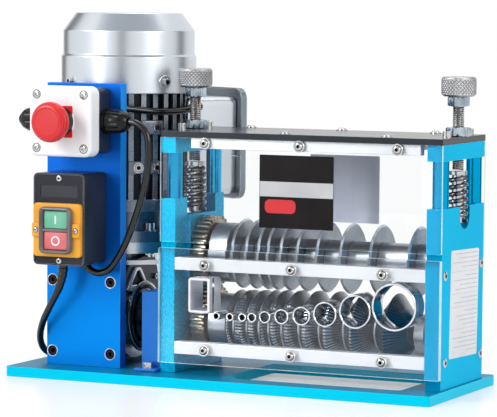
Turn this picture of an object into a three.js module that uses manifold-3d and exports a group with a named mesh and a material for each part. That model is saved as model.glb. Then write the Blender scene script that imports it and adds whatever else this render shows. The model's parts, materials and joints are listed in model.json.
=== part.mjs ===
import * as THREE from 'three';
import { mergeVertices } from 'three/addons/utils/BufferGeometryUtils.js';
import Module from 'manifold-3d';

// A bench wire stripping machine: a motor and worm gearbox turn a lower shaft of V-grooved feed rollers,
// two spur gears turn an upper shaft of disc blades above it, and two knobs set the height of the blades.
// Millimetres. X to the right, Y from the front to the back, Z up. The base plate is centred on X,
// its front edge is at Y = 0 and its underside at Z = 0, until the whole is moved at the end of the file.

const gap = 0.2;
const slide = 0.3;
const overrun = 3;
const weld = 0.0001;
const half = 1 / 2;
const fullTurn = 2 * Math.PI;
const quarterTurn = Math.PI / 2;
const hexSides = 6;

const base = {
  width: 460, depth: 177, thick: 10, corner: 3,
  openingStart: 230, openingEndMargin: 40, openingFront: 26, openingBackMargin: 27, openingCorner: 4,
};

const frame = { start: 157, endMargin: 3, front: 37, wall: 16 };

// The lower block stands above the bearing block by blockCover, the upper one is over the screw's collar.
const column = {
  blockCover: 17.3, collarRoom: 11.5, upperHeight: 15.5,
  pillarRadius: 7.8, frontPillarInset: 15, backPillarInset: 8,
  pocketWidth: 64, pocketSkin: 5, pocketRoom: 0.5, notchRadius: 13, notchDepth: 22.5,
};

const topPlate = { thick: 6 };

// The lower window covers the middle bar, and a split is left between it and the upper one.
const sheet = { upperThick: 2.8, lowerThick: 6, lowerFoot: 10.5, overBar: 9, split: 6, backOverBar: 1.3 };

const bar = {
  height: 12.5, depth: 12, bottomHeight: 19.5, overGuides: 1, middleBackLift: 5.2,
  topHeight: 10.3, topStartShare: 0.0634, topLengthShare: 0.9104, topDepth: 10,
};

const shaft = { radius: 10, lowerHeight: 47.5, tailInGearbox: 26 };

// The teeth: their depth in modules, and their width at tip and root as a share of the tooth spacing.
const gear = { module: 2, teeth: 35, rootDepthShare: 1.25, tipShare: 0.26, rootShare: 0.66 };

const turned = { sides: 18 };

// Along the shafts, places and widths are shares of the width between the columns.
const along = {
  gearShare: 0.01866, gearWidthShare: 0.05597, flatRollerShare: 0.0821, flatRollerWidthShare: 0.07463,
  neckEndShare: 0.89552, collarWidthShare: 0.04104, flatGuideShare: 0.07649, flatGuideWidthShare: 0.08731,
  largestGuideShare: 0.17164,
};

const flatRoller = { upperRadius: 29.8, lowerRadius: 28.8 };

const blade = { radius: 35, thick: 3, bevel: 2, spacerRadius: 17.4 };

// The grooves get wider and their rims higher from left to right. The last one is open on its right.
const roller = {
  radius: 38, smallRadius: 33, depthShare: 1.15, grooveFlat: 1.4, clearance: 0.4, neckRadius: 12,
  collarRadius: 19, frontRoom: 9, backRoom: 2,
};

// Shares of the inner width where each wire channel lies, and of the largest guide that its guide measures.
const channelPlaceShares = [0.187, 0.243, 0.293, 0.332, 0.384, 0.451, 0.53, 0.623, 0.741, 0.892];
const guideSizeShares = [0.174, 0.174, 0.185, 0.207, 0.261, 0.326, 0.402, 0.533, 0.717, 1];

const guide = { wallLarge: 2, wallSmall: 1.4, foot: 56.5, proud: 4.2, length: 24, lip: 0.6 };

const flatGuide = { height: 34.7, foot: 62.8, wall: 2.4, corner: 2.2, proud: 6, length: 28 };

const bearing = { height: 62.7, underShaft: 23.5, reach: 3, shoulder: 6, shaftSetback: 1 };

const spring = { wire: 1.6, radius: 8.6, length: 46.7, turns: 6, steps: 8, sides: 5 };

const screw = {
  radius: 5.9, collarRadius: 9.2, collarThick: 4,
  nutRadius: 10.9, nutThick: 9.5, knobRadius: 17, knobHeight: 19, knobChamfer: 1.8, reachAbovePlate: 38.8,
  leftExtra: 3,
};

const plateNut = { radius: 12.4, thick: 8.8 };

const motorPlate = {
  start: 26.6, front: 38, width: 84, thick: 12, height: 286.5, screwInset: 6.4, screwPitch: 66.2,
  screwLow: 13.8, screwHigh: 86.4, screwRadius: 5.3, screwDepth: 7,
};

const gearbox = {
  axisInset: 68, width: 78, shellWidth: 62, shellRadius: 43, hubRadius: 31, sealRadius: 27, sealThick: 4,
  footHeight: 92, footThick: 10, footLift: 4, barrelRadius: 31, wormOffset: 40,
  flangeRadius: 60, flangeThick: 11, height: 112, ribThick: 7,
};

const motor = {
  flangeRadius: 60, flangeThick: 11.3, neckRadius: 44, neckHeight: 20.5, shieldRadius: 62.5, shieldHeight: 12,
  finRadius: 61.5, rootRadius: 55.5, fins: 30, finShare: 0.4, bodyHeight: 108, bellRadius: 68, bellHeight: 16,
};

const fanCover = {
  radius: 70, upperRadius: 68, topRadius: 54.8, wall: 1.5, skirtHeight: 37, stepHeight: 2.5,
  height: 81.6, chamferHeight: 18.3, slots: 16, slotWidth: 4, slotInner: 15, slotOuter: 49,
};

const fan = { hubRadius: 13, hubHeight: 24, radius: 57, bladeThick: 2.5, bladeHeight: 20, blades: 7, lift: 6,
  stubRadius: 8, stubDepth: 10 };

// The terminal box points back and to the right, clear of the column. Its reach is from the motor's axis.
const terminal = {
  turn: Math.PI / 3, reach: 104, width: 92, height: 102, foot: 168, corner: 8,
  lidThick: 8, lidOver: 8, lidRise: 9, lidDrop: 5, lidCorner: 12, domeInset: 11, domeRise: 3, domeBevel: 3,
  leadAt: 53, leadDrop: 9,
};

const stopBox = {
  start: 31, width: 70, lift: 214.5, corner: 8, coverDepth: 18.8, baseDepth: 25.8, baseInset: 2,
  collarRadius: 15, collarHeight: 9, stemRadius: 8, stemDepth: 18, boreDepth: 26,
  headRadius: 20, headThick: 12, headEdge: 4, standoff: 6,
};

const gland = {
  radius: 12.4, length: 27.3, flange: 4, neckRadius: 10.6, ringShare: 0.5, mouthRadius: 8, domeHeight: 3,
};

const switchBox = {
  start: 37, width: 57.5, lift: 106, height: 92, depth: 45.8, corner: 5,
  cavityWidth: 36, cavityHeight: 46, cavityDepth: 14,
  labelWidth: 43, labelHeight: 13, labelTop: 11.5, labelDepth: 0.8,
};

const switchFrame = {
  width: 54, height: 53.5, lift: 8.8, thick: 4.5, corner: 4, tabWidth: 9, tabHeight: 14, tabRise: 2.5,
};

const button = { width: 24, height: 17.6, spacing: 21, depth: 14, proud: 2.5, corner: 1.6 };

const guard = { start: 132, width: 23, front: 44, back: 150, height: 79, wall: 3, footReach: 16 };

const cord = { radius: 3.5, sides: 8, straight: 4, mainsSteps: 28, linkSteps: 20, motorSteps: 15 };

// Places that each lead passes, between the straight ends at the two pieces that it joins.
const linkPlaces = [
  [-87, 25, 246], [-81, 25, 228], [-82, 25, 210], [-88, 25, 190], [-96, 25, 167], [-104, 25, 146],
  [-114, 25, 127], [-125, 24.5, 112], [-137, 23.5, 103], [-147, 22.8, 104],
];
const linkEntry = { x: -150.5, y: 22.5 };
const motorLeadExit = { x: -136, z: 272 };
const motorLeadPlaces = [
  [-131.5, 59.5, 271.5], [-122, 70, 269.5], [-111, 84, 267.5], [-101, 101, 267], [-94, 120, 267.5],
  [-89, 138, 269], [-86, 150, 270.5],
];
const mainsEntry = { x: -172, y: 15 };
const mainsPlaces = [
  [-173.5, 15, 103], [-179, 15.5, 90], [-193, 20, 71], [-205, 29, 50], [-212, 40, 35], [-215, 55, 23],
  [-214, 72, 15.5], [-212, 95, 13.8], [-211, 130, 13.8], [-211, 160, 13.8], [-213, 177, 13.9],
  [-217, 189, 11], [-224, 201, 7], [-232, 212, 4.4], [-239, 223, 3.8], [-243, 235, 3.6],
];

const coil = {
  centreX: -194, centreY: 258, outerRadius: 50, pitch: 8.4, layerPitch: 8.4,
  turnsEachWay: 2.75, reversal: 0.5, stepsPerTurn: 24, sides: 6, clearFloor: 0.1, startRun: 7, endRun: 14,
};

const plug = {
  reliefLength: 30, reliefRadius: 6, mouthRadius: 4.6, bodyLength: 32, bodyWidth: 28, bodyHeight: 22,
  bodyCorner: 6, bladeLength: 16, bladeWidth: 6.4, bladeThick: 1.6, bladeSpacing: 12.7, bladeRise: 3,
  pinRadius: 2.4, pinDrop: 6,
};

// Places that follow from the sizes above.
const baseLeft = -base.width * half;
const frameLeft = baseLeft + frame.start;
const frameRight = -baseLeft - frame.endMargin;
const innerLeft = frameLeft + frame.wall;
const innerRight = frameRight - frame.wall;
const innerWidth = innerRight - innerLeft;
const floorTop = base.thick;
const columnFoot = floorTop + gap;
const shaftY = frame.front + bar.depth + roller.frontRoom + roller.radius;
const frameBack = shaftY + roller.radius + roller.backRoom + bar.depth;
const lowerZ = floorTop + shaft.lowerHeight;
const upperZ = lowerZ + gear.module * gear.teeth;
const blockFoot = upperZ - bearing.underShaft;
const blockTop = blockFoot + bearing.height;
const springFoot = blockTop + slide;
const collarFoot = springFoot + spring.length + slide;
const upperBottom = collarFoot + screw.collarThick + column.collarRoom;
const columnTop = upperBottom + column.upperHeight;
const lowerTop = blockTop + column.blockCover;
const gearLeft = innerLeft + innerWidth * along.gearShare;
const gearWidth = innerWidth * along.gearWidthShare;
const flatRollerLeft = innerLeft + innerWidth * along.flatRollerShare;
const flatRollerRight = flatRollerLeft + innerWidth * along.flatRollerWidthShare;
const flatGuideLeft = innerLeft + innerWidth * along.flatGuideShare;
const flatGuideRight = flatGuideLeft + innerWidth * along.flatGuideWidthShare;
const plateBottom = columnTop + gap;
const plateTop = plateBottom + topPlate.thick;
const plateFront = frame.front - sheet.upperThick - gap;
const plateBack = frameBack + sheet.upperThick + gap;
const plateWallLeft = baseLeft + motorPlate.start;
const plateWallBack = motorPlate.front + motorPlate.thick;
const motorX = baseLeft + gearbox.axisInset;
const motorY = shaftY + gearbox.wormOffset;
const gearboxRight = motorX + gearbox.width * half;
const gearboxTop = floorTop + gearbox.height;
const motorFoot = gearboxTop + gearbox.flangeThick + gap;
const finFoot = motorFoot + motor.flangeThick + motor.neckHeight + motor.shieldHeight;
const bellFoot = finFoot + motor.bodyHeight;
const bellTop = bellFoot + motor.bellHeight;

// A solid for joining and cutting, and back.
const wasm = await Module();
wasm.setup();

function toSolid(geometry) {
  const plain = geometry.clone();
  plain.deleteAttribute('normal');
  plain.deleteAttribute('uv');
  const merged = mergeVertices(plain, weld);
  return new wasm.Manifold(new wasm.Mesh({
    numProp: 3,
    vertProperties: new Float32Array(merged.attributes.position.array),
    triVerts: new Uint32Array(merged.index.array),
  }));
}

function toGeometry(solid) {
  const { vertProperties, triVerts } = solid.getMesh();
  const geometry = new THREE.BufferGeometry();
  geometry.setAttribute('position', new THREE.BufferAttribute(vertProperties, 3));
  geometry.setIndex(new THREE.BufferAttribute(triVerts, 1));
  return geometry;
}

function join(...geometries) {
  return toGeometry(geometries.map(toSolid).reduce((sum, next) => sum.add(next)));
}

function cut(body, ...tools) {
  return toGeometry(tools.map(toSolid).reduce((rest, tool) => rest.subtract(tool), toSolid(body)));
}

// Plain shapes, placed by their faces.
function block(x1, x2, y1, y2, z1, z2) {
  const geometry = new THREE.BoxGeometry(Math.abs(x2 - x1), Math.abs(y2 - y1), Math.abs(z2 - z1));
  return geometry.translate((x1 + x2) * half, (y1 + y2) * half, (z1 + z2) * half);
}

function rodX(radius, x1, x2, y, z, sides = 24) {
  const geometry = new THREE.CylinderGeometry(radius, radius, Math.abs(x2 - x1), sides);
  return geometry.rotateZ(quarterTurn).translate((x1 + x2) * half, y, z);
}

function rodY(radius, x, y1, y2, z, sides = 24) {
  const geometry = new THREE.CylinderGeometry(radius, radius, Math.abs(y2 - y1), sides);
  return geometry.translate(x, (y1 + y2) * half, z);
}

function rodZ(radius, x, y, z1, z2, sides = 24) {
  const geometry = new THREE.CylinderGeometry(radius, radius, Math.abs(z2 - z1), sides);
  return geometry.rotateX(quarterTurn).translate(x, y, (z1 + z2) * half);
}

// Turned pieces. A profile is a list of [place along the axis, radius], walked with the metal on its right.
function lathe(profile, sides) {
  return new THREE.LatheGeometry(profile.map(([along, radius]) => new THREE.Vector2(radius, along)), sides);
}

function ringLathe(profile, sides) {
  return lathe([...profile, profile[0]], sides);
}

function alongX(geometry, y, z) {
  return geometry.rotateZ(-quarterTurn).translate(0, y, z);
}

function alongZ(geometry, x, y) {
  return geometry.rotateX(quarterTurn).translate(x, y, 0);
}

// Outlines and the plates made from them.
function roundedOutline(x1, x2, y1, y2, radius) {
  const shape = new THREE.Shape();
  shape.absarc(x2 - radius, y2 - radius, radius, 0, quarterTurn, false);
  shape.absarc(x1 + radius, y2 - radius, radius, quarterTurn, Math.PI, false);
  shape.absarc(x1 + radius, y1 + radius, radius, Math.PI, Math.PI + quarterTurn, false);
  shape.absarc(x2 - radius, y1 + radius, radius, Math.PI + quarterTurn, fullTurn, false);
  return shape;
}

function roundHole(x, y, radius) {
  const path = new THREE.Path();
  path.absarc(x, y, radius, 0, fullTurn, true);
  return path;
}

function hexagon(radius) {
  const corners = Array.from({ length: hexSides }, (_, k) => fullTurn * k / hexSides);
  return new THREE.Shape(corners.map((a) => new THREE.Vector2(radius * Math.cos(a), radius * Math.sin(a))));
}

function extrude(shape, depth, curveSegments = 6) {
  return new THREE.ExtrudeGeometry(shape, { depth, bevelEnabled: false, curveSegments });
}

const yzBasis = new THREE.Matrix4().makeBasis(
  new THREE.Vector3(0, 1, 0), new THREE.Vector3(0, 0, 1), new THREE.Vector3(1, 0, 0));

// An outline drawn in Y and Z, thick along X.
function plateX(geometry, x) {
  return geometry.applyMatrix4(yzBasis).translate(x, 0, 0);
}

// An outline drawn in X and Z, thick along Y, with its back face at y.
function plateY(geometry, y) {
  return geometry.rotateX(quarterTurn).translate(0, y, 0);
}

// A tube along a route: the route's points are joined by a smooth curve.
function tube(points, steps) {
  const section = new THREE.Shape(Array.from({ length: cord.sides }, (_, k) => {
    const angle = fullTurn * k / cord.sides;
    return new THREE.Vector2(cord.radius * Math.cos(angle), cord.radius * Math.sin(angle));
  }));
  const path = new THREE.CatmullRomCurve3(points.map((p) => new THREE.Vector3(...p)));
  return new THREE.ExtrudeGeometry(section, { steps, extrudePath: path, bevelEnabled: false });
}

// A wound tube: rings round the centre line, each ring spanned by the outward and the upward direction.
function woundTube(centres, radius, sides) {
  const positions = [];
  const up = new THREE.Vector3(0, 0, 1);
  centres.forEach((centre, k) => {
    const before = centres[Math.max(k - 1, 0)];
    const after = centres[Math.min(k + 1, centres.length - 1)];
    const ahead = after.clone().sub(before).normalize();
    const side = ahead.clone().cross(up).normalize();
    const lift = side.clone().cross(ahead);
    for (let s = 0; s < sides; s += 1) {
      const angle = fullTurn * s / sides;
      const point = centre.clone()
        .addScaledVector(side, radius * Math.cos(angle))
        .addScaledVector(lift, radius * Math.sin(angle));
      positions.push(...point.toArray());
    }
  });
  const index = [];
  for (let k = 0; k + 1 < centres.length; k += 1) {
    for (let s = 0; s < sides; s += 1) {
      const a = k * sides + s;
      const b = k * sides + (s + 1) % sides;
      index.push(a, b + sides, b, a, a + sides, b + sides);
    }
  }
  const last = (centres.length - 1) * sides;
  for (let s = 1; s + 1 < sides; s += 1) {
    index.push(0, s, s + 1);
    index.push(last, last + s + 1, last + s);
  }
  const geometry = new THREE.BufferGeometry();
  geometry.setAttribute('position', new THREE.Float32BufferAttribute(positions, 3));
  geometry.setIndex(index);
  return geometry;
}

// The least gap between turns, for points more than half a turn apart along the tube.
function leastGap(centres, radius, stepsPerTurn) {
  let least = Infinity;
  for (let a = 0; a < centres.length; a += 1) {
    for (let b = a + Math.ceil(stepsPerTurn * half); b < centres.length; b += 1) {
      least = Math.min(least, centres[a].distanceTo(centres[b]) - 2 * radius);
    }
  }
  return least;
}

// Finishes.
const finish = (color, roughness, metalness) => ({ color, roughness, metalness });
const cyanPaint = finish(0x0aa9dd, 0.35, 0.6);
const bluePaint = finish(0x0c55c4, 0.4, 0.3);
const blackPaint = finish(0x1d1f24, 0.4, 0.4);
const bareAluminium = finish(0xdcdfe2, 0.4, 0.9);
const castAluminium = finish(0xaab0b6, 0.5, 0.8);
const darkCasting = finish(0x3b454e, 0.55, 0.6);
const groundSteel = finish(0x9aa0a6, 0.25, 1);
const brightSteel = finish(0xd5d8da, 0.15, 1);
const gearSteel = finish(0x8d7f70, 0.45, 0.9);
const clearSheet = finish(0xdfeef2, 0.05, 0);
const blackPlastic = finish(0x24262a, 0.5, 0);
const blackRubber = finish(0x151517, 0.65, 0);
const whitePlastic = finish(0xe9e9ec, 0.4, 0);
const redPlastic = finish(0xd9262b, 0.35, 0);
const yellowPlastic = finish(0xf2b632, 0.4, 0);
const greenPlastic = finish(0x4fae83, 0.4, 0);
const paleRedPlastic = finish(0xe27f82, 0.4, 0);

const machine = new THREE.Group();

function piece(name, geometry, look) {
  const mesh = new THREE.Mesh(geometry, new THREE.MeshStandardMaterial(look));
  mesh.name = name;
  machine.add(mesh);
}

// Base plate: one thick plate with a long opening under the rollers for the stripped wire.
function basePlate() {
  const shape = roundedOutline(baseLeft, -baseLeft, 0, base.depth, base.corner);
  const opening = roundedOutline(baseLeft + base.openingStart, -baseLeft - base.openingEndMargin,
    base.openingFront, base.depth - base.openingBackMargin, base.openingCorner);
  shape.holes.push(new THREE.Path(opening.getPoints(2)));
  piece('base_plate', extrude(shape, base.thick, 2), cyanPaint);
}

// A column: lower block with a pocket for the sliding bearing block, two round pillars and an upper block.
// The outer face has a notch through which the spring shows. inward is 1 on the left and -1 on the right.
function columnSolid(outerX, inward, shaftHoleDepth) {
  const at = (depth) => outerX + inward * depth;
  const pocketHalf = column.pocketWidth * half;
  const notchMiddle = lowerTop - column.notchDepth + column.notchRadius;
  const lower = cut(
    block(at(0), at(frame.wall), frame.front, frameBack, columnFoot, lowerTop),
    block(at(column.pocketSkin), at(frame.wall + overrun), shaftY - pocketHalf, shaftY + pocketHalf,
      blockFoot - column.pocketRoom, lowerTop + overrun),
    block(at(-overrun), at(column.pocketSkin + overrun), shaftY - column.notchRadius,
      shaftY + column.notchRadius, notchMiddle, lowerTop + overrun),
    rodX(column.notchRadius, at(-overrun), at(column.pocketSkin + overrun), shaftY, notchMiddle),
    rodX(shaft.radius + slide, at(frame.wall - shaftHoleDepth), at(frame.wall + overrun), shaftY, lowerZ),
  );
  const middle = at(frame.wall * half);
  const pillars = [frame.front + column.frontPillarInset, frameBack - column.backPillarInset];
  const upper = cut(
    block(at(0), at(frame.wall), frame.front, frameBack, upperBottom, columnTop),
    rodZ(screw.radius + slide, middle, shaftY, upperBottom - overrun, columnTop + overrun),
  );
  const posts = pillars.map((y) => (
    rodZ(column.pillarRadius, middle, y, lowerTop - overrun, upperBottom + overrun, 16)));
  return join(lower, upper, ...posts);
}

function columns() {
  piece('left_column', columnSolid(frameLeft, 1, frame.wall + overrun), cyanPaint);
  piece('right_column', columnSolid(frameRight, -1, frame.wall - column.pocketSkin), cyanPaint);
}

// Top plate over both columns, with a hole for each adjusting screw.
function blackTopPlate() {
  const shape = roundedOutline(frameLeft, frameRight, plateFront, plateBack, base.corner * half);
  [frameLeft, innerRight].forEach((x) => {
    shape.holes.push(roundHole(x + frame.wall * half, shaftY, screw.radius + slide));
  });
  piece('top_plate', extrude(shape, topPlate.thick, 8).translate(0, 0, plateBottom), blackPaint);
}

// Wire channels: the place along X, the guide's radii and its height, from the smallest to the largest.
const largestGuide = innerWidth * along.largestGuideShare;
const channels = channelPlaceShares.map((placeShare, k) => {
  const outer = largestGuide * guideSizeShares[k] * half;
  const wall = guide.wallSmall + (guide.wallLarge - guide.wallSmall) * guideSizeShares[k];
  return {
    x: innerLeft + innerWidth * placeShare,
    outer,
    inner: outer - wall,
    z: floorTop + guide.foot + outer,
    sides: 10 + 2 * Math.round(7 * guideSizeShares[k]),
  };
});
const guideTop = floorTop + Math.max(guide.foot + largestGuide, flatGuide.foot + flatGuide.height);
const middleBarFoot = guideTop + bar.overGuides;
const lowerWindowBack = frame.front - gap;
const lowerWindowFront = lowerWindowBack - sheet.lowerThick;
const lowerWindowTop = middleBarFoot + bar.height + sheet.overBar;

// Cross bars between the columns, front and back, that carry the windows.
function crossBars() {
  const topLeft = innerLeft + innerWidth * bar.topStartShare;
  const topRight = topLeft + innerWidth * bar.topLengthShare;
  const topFoot = columnTop - bar.topHeight;
  const left = innerLeft + gap;
  const right = innerRight - gap;
  const backFront = frameBack - bar.depth;
  const level = (name, foot, front, back) => {
    piece(name, block(left, right, front, back, foot, foot + bar.height), bareAluminium);
  };
  piece('top_front_bar',
    block(topLeft, topRight, frame.front, frame.front + bar.topDepth, topFoot, columnTop), bareAluminium);
  piece('top_rear_bar',
    block(topLeft, topRight, frameBack - bar.topDepth, frameBack, topFoot, columnTop), bareAluminium);
  level('middle_front_bar', middleBarFoot, frame.front, frame.front + bar.depth);
  level('middle_rear_bar', middleBarFoot + bar.middleBackLift, backFront, frameBack);
  level('bottom_front_bar', floorTop + bar.bottomHeight, frame.front, frame.front + bar.depth);
  level('bottom_rear_bar', floorTop + bar.bottomHeight, backFront, frameBack);
}

// Clear windows: the lower front one has a hole for each guide.
function windows() {
  const upperFoot = lowerWindowTop + sheet.split;
  const backFoot = middleBarFoot + bar.middleBackLift + sheet.backOverBar;
  const thin = (name, back, foot) => {
    piece(name, block(frameLeft, frameRight, back - sheet.upperThick, back, foot, columnTop), clearSheet);
  };
  thin('upper_front_window', frame.front - gap, upperFoot);
  thin('upper_rear_window', plateBack, backFoot);
  const foot = floorTop + sheet.lowerFoot;
  const body = block(frameLeft, frameRight, lowerWindowFront, lowerWindowBack, foot, lowerWindowTop);
  const holes = channels.map(({ x, outer, z, sides }) => (
    rodY(outer + gap, x, lowerWindowFront - overrun, lowerWindowBack + overrun, z, sides)));
  const low = floorTop + flatGuide.foot;
  const flatHole = block(flatGuideLeft - gap, flatGuideRight + gap, lowerWindowFront - overrun,
    lowerWindowBack + overrun, low - gap, low + flatGuide.height + gap);
  piece('lower_front_window', cut(body, ...holes, flatHole), clearSheet);
}

// Guide tubes through the lower window, and the rectangular guide for flat cable.
function guides() {
  const front = lowerWindowFront - guide.proud;
  channels.forEach(({ x, outer, inner, z, sides }, k) => {
    const profile = [
      [front, inner + guide.lip], [front, outer],
      [front + guide.length, outer], [front + guide.length, inner], [front + guide.lip, inner],
    ];
    piece(`guide_tube_${k + 1}`, ringLathe(profile, sides).translate(x, 0, z), brightSteel);
  });
  const low = floorTop + flatGuide.foot;
  const high = low + flatGuide.height;
  const shape = roundedOutline(flatGuideLeft, flatGuideRight, low, high, flatGuide.corner);
  const hole = roundedOutline(flatGuideLeft + flatGuide.wall, flatGuideRight - flatGuide.wall,
    low + flatGuide.wall, high - flatGuide.wall, flatGuide.corner * half);
  shape.holes.push(new THREE.Path(hole.getPoints(2)));
  const back = lowerWindowFront - flatGuide.proud + flatGuide.length;
  piece('flat_cable_guide', plateY(extrude(shape, flatGuide.length, 2), back), brightSteel);
}

// Spur gear: straight-sided teeth on a round body. turn sets where the first tooth points.
function gearSolid(turn) {
  const pitchRadius = gear.module * gear.teeth * half;
  const root = pitchRadius - gear.rootDepthShare * gear.module;
  const tip = pitchRadius + gear.module;
  const step = fullTurn / gear.teeth;
  const points = [];
  for (let k = 0; k < gear.teeth; k += 1) {
    const middle = turn + k * step;
    [[root, -gear.rootShare], [tip, -gear.tipShare], [tip, gear.tipShare], [root, gear.rootShare]]
      .forEach(([radius, share]) => {
        const angle = middle + share * step * half;
        points.push(new THREE.Vector2(radius * Math.cos(angle), radius * Math.sin(angle)));
      });
  }
  const shape = new THREE.Shape(points);
  shape.holes.push(roundHole(0, 0, shaft.radius + gap));
  return extrude(shape, gearWidth, 12);
}

// Blade shaft: shaft, the blades on their sleeves with the flat roller, and the driven gear.
function bladeShaft() {
  const toothStep = fullTurn / gear.teeth;
  const setback = column.pocketSkin + slide + bearing.shaftSetback;
  piece('upper_shaft',
    rodX(shaft.radius, frameLeft + setback, frameRight - setback, shaftY, upperZ), groundSteel);
  piece('upper_gear',
    plateX(gearSolid(-quarterTurn + toothStep * half), gearLeft).translate(0, shaftY, upperZ), gearSteel);
  const bore = shaft.radius + gap;
  const sleeveRight = innerRight - bearing.reach - slide;
  const profile = [
    [flatRollerLeft, bore], [flatRollerLeft, flatRoller.upperRadius],
    [flatRollerRight, flatRoller.upperRadius], [flatRollerRight, blade.spacerRadius],
  ];
  channels.forEach(({ x }) => {
    const face = blade.thick * half;
    profile.push([x - face, blade.spacerRadius], [x - face, blade.radius - blade.bevel],
      [x, blade.radius], [x + face, blade.radius - blade.bevel], [x + face, blade.spacerRadius]);
  });
  profile.push([sleeveRight, blade.spacerRadius], [sleeveRight, bore]);
  piece('blade_stack', alongX(ringLathe(profile, turned.sides), shaftY, upperZ), groundSteel);
}

// Feed shaft: shaft out of the gearbox, the V-grooved rollers turned in one piece, and the driving gear.
function feedShaft() {
  const left = gearboxRight - shaft.tailInGearbox;
  const right = frameRight - column.pocketSkin - slide;
  piece('lower_shaft', rodX(shaft.radius, left, right, shaftY, lowerZ), groundSteel);
  piece('lower_gear', plateX(gearSolid(quarterTurn), gearLeft).translate(0, shaftY, lowerZ), gearSteel);
  const bore = shaft.radius + gap;
  const profile = [
    [flatRollerLeft, bore], [flatRollerLeft, flatRoller.lowerRadius],
    [flatRollerRight, flatRoller.lowerRadius],
  ];
  const last = channels.length - 1;
  const flatHalf = roller.grooveFlat * half;
  channels.forEach(({ x, outer }, k) => {
    const rim = roller.smallRadius + (roller.radius - roller.smallRadius) * k / last;
    const side = outer + roller.clearance;
    const floor = Math.max(rim - side * roller.depthShare, roller.neckRadius);
    const flank = (rim - floor) / roller.depthShare;
    profile.push([x - side, rim], [x - side + flank - flatHalf, floor]);
    if (k < last) {
      profile.push([x + side - flank + flatHalf, floor], [x + side, rim]);
    }
  });
  const neckEnd = innerLeft + innerWidth * along.neckEndShare;
  const collarEnd = neckEnd + innerWidth * along.collarWidthShare;
  profile.push([neckEnd, roller.neckRadius], [neckEnd, roller.collarRadius],
    [collarEnd, roller.collarRadius], [collarEnd, bore]);
  piece('feed_rollers', alongX(ringLathe(profile, turned.sides), shaftY, lowerZ), groundSteel);
}

// Sliding bearing blocks in the pockets of the columns, each with its pressure spring on top.
function bearingBlock(outerX, inward) {
  const side = column.pocketWidth * half - slide;
  const outline = new THREE.Shape();
  outline.moveTo(shaftY - side, blockFoot);
  outline.lineTo(shaftY + side, blockFoot);
  outline.lineTo(shaftY + side, blockTop - bearing.shoulder);
  outline.lineTo(shaftY + side - bearing.shoulder, blockTop);
  outline.lineTo(shaftY - side + bearing.shoulder, blockTop);
  outline.lineTo(shaftY - side, blockTop - bearing.shoulder);
  outline.closePath();
  outline.holes.push(roundHole(shaftY, upperZ, shaft.radius + slide));
  const near = outerX + inward * (column.pocketSkin + slide);
  const far = outerX + inward * (frame.wall + bearing.reach);
  return plateX(extrude(outline, Math.abs(far - near), 10), Math.min(near, far));
}

function springSolid(middleX) {
  const steps = spring.steps * spring.turns;
  const low = springFoot + spring.wire;
  const rise = spring.length - 2 * spring.wire;
  const centres = Array.from({ length: steps + 1 }, (_, k) => {
    const angle = fullTurn * k / spring.steps;
    return new THREE.Vector3(middleX + spring.radius * Math.cos(angle),
      shaftY + spring.radius * Math.sin(angle), low + rise * k / steps);
  });
  console.log('spring: least gap to itself', leastGap(centres, spring.wire, spring.steps).toFixed(2), 'mm');
  return woundTube(centres, spring.wire, spring.sides);
}

// Adjusting screw: rod with a collar over the spring, jam nut and knob, turned by hand.
function screwSolid(middleX, extra) {
  const knobFoot = plateTop + screw.reachAbovePlate + extra;
  const knobTop = knobFoot + screw.knobHeight;
  const nutFoot = knobFoot - screw.nutThick;
  const profile = [
    [springFoot, 0], [springFoot, screw.radius],
    [collarFoot, screw.radius], [collarFoot, screw.collarRadius],
    [collarFoot + screw.collarThick, screw.collarRadius], [collarFoot + screw.collarThick, screw.radius],
    [knobFoot, screw.radius], [knobFoot, screw.knobRadius - screw.knobChamfer],
    [knobFoot + screw.knobChamfer, screw.knobRadius], [knobTop - screw.knobChamfer * half, screw.knobRadius],
    [knobTop, screw.knobRadius - screw.knobChamfer * half], [knobTop, 0],
  ];
  const rod = alongZ(lathe(profile, 20), middleX, shaftY);
  const nut = extrude(hexagon(screw.nutRadius), screw.nutThick).translate(middleX, shaftY, nutFoot);
  return join(rod, nut);
}

function nutSolid(middleX) {
  const shape = hexagon(plateNut.radius);
  shape.holes.push(roundHole(0, 0, screw.radius + slide));
  return extrude(shape, plateNut.thick, 8).translate(middleX, shaftY, plateTop + gap);
}

function heightAdjusters() {
  const sides = [
    { side: 'left', outerX: frameLeft, inward: 1, extra: screw.leftExtra },
    { side: 'right', outerX: frameRight, inward: -1, extra: 0 },
  ];
  sides.forEach(({ side, outerX, inward, extra }) => {
    const middleX = outerX + inward * frame.wall * half;
    piece(`${side}_bearing_block`, bearingBlock(outerX, inward), cyanPaint);
    piece(`${side}_spring`, springSolid(middleX), gearSteel);
    piece(`${side}_adjusting_screw`, screwSolid(middleX, extra), brightSteel);
    piece(`${side}_plate_nut`, nutSolid(middleX), brightSteel);
  });
}

// Blue front plate that the gearbox and both control boxes are screwed to, with four counterbores.
function frontPlate() {
  const right = plateWallLeft + motorPlate.width;
  const { front } = motorPlate;
  const body = block(plateWallLeft, right, front, plateWallBack, columnFoot, floorTop + motorPlate.height);
  const bores = [];
  [motorPlate.screwInset, motorPlate.screwInset + motorPlate.screwPitch].forEach((inset) => {
    [motorPlate.screwLow, motorPlate.screwHigh].forEach((height) => {
      bores.push(rodY(motorPlate.screwRadius, plateWallLeft + inset, front - overrun,
        front + motorPlate.screwDepth, floorTop + height, 14));
    });
  });
  piece('motor_column', cut(body, ...bores), bluePaint);
}

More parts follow.
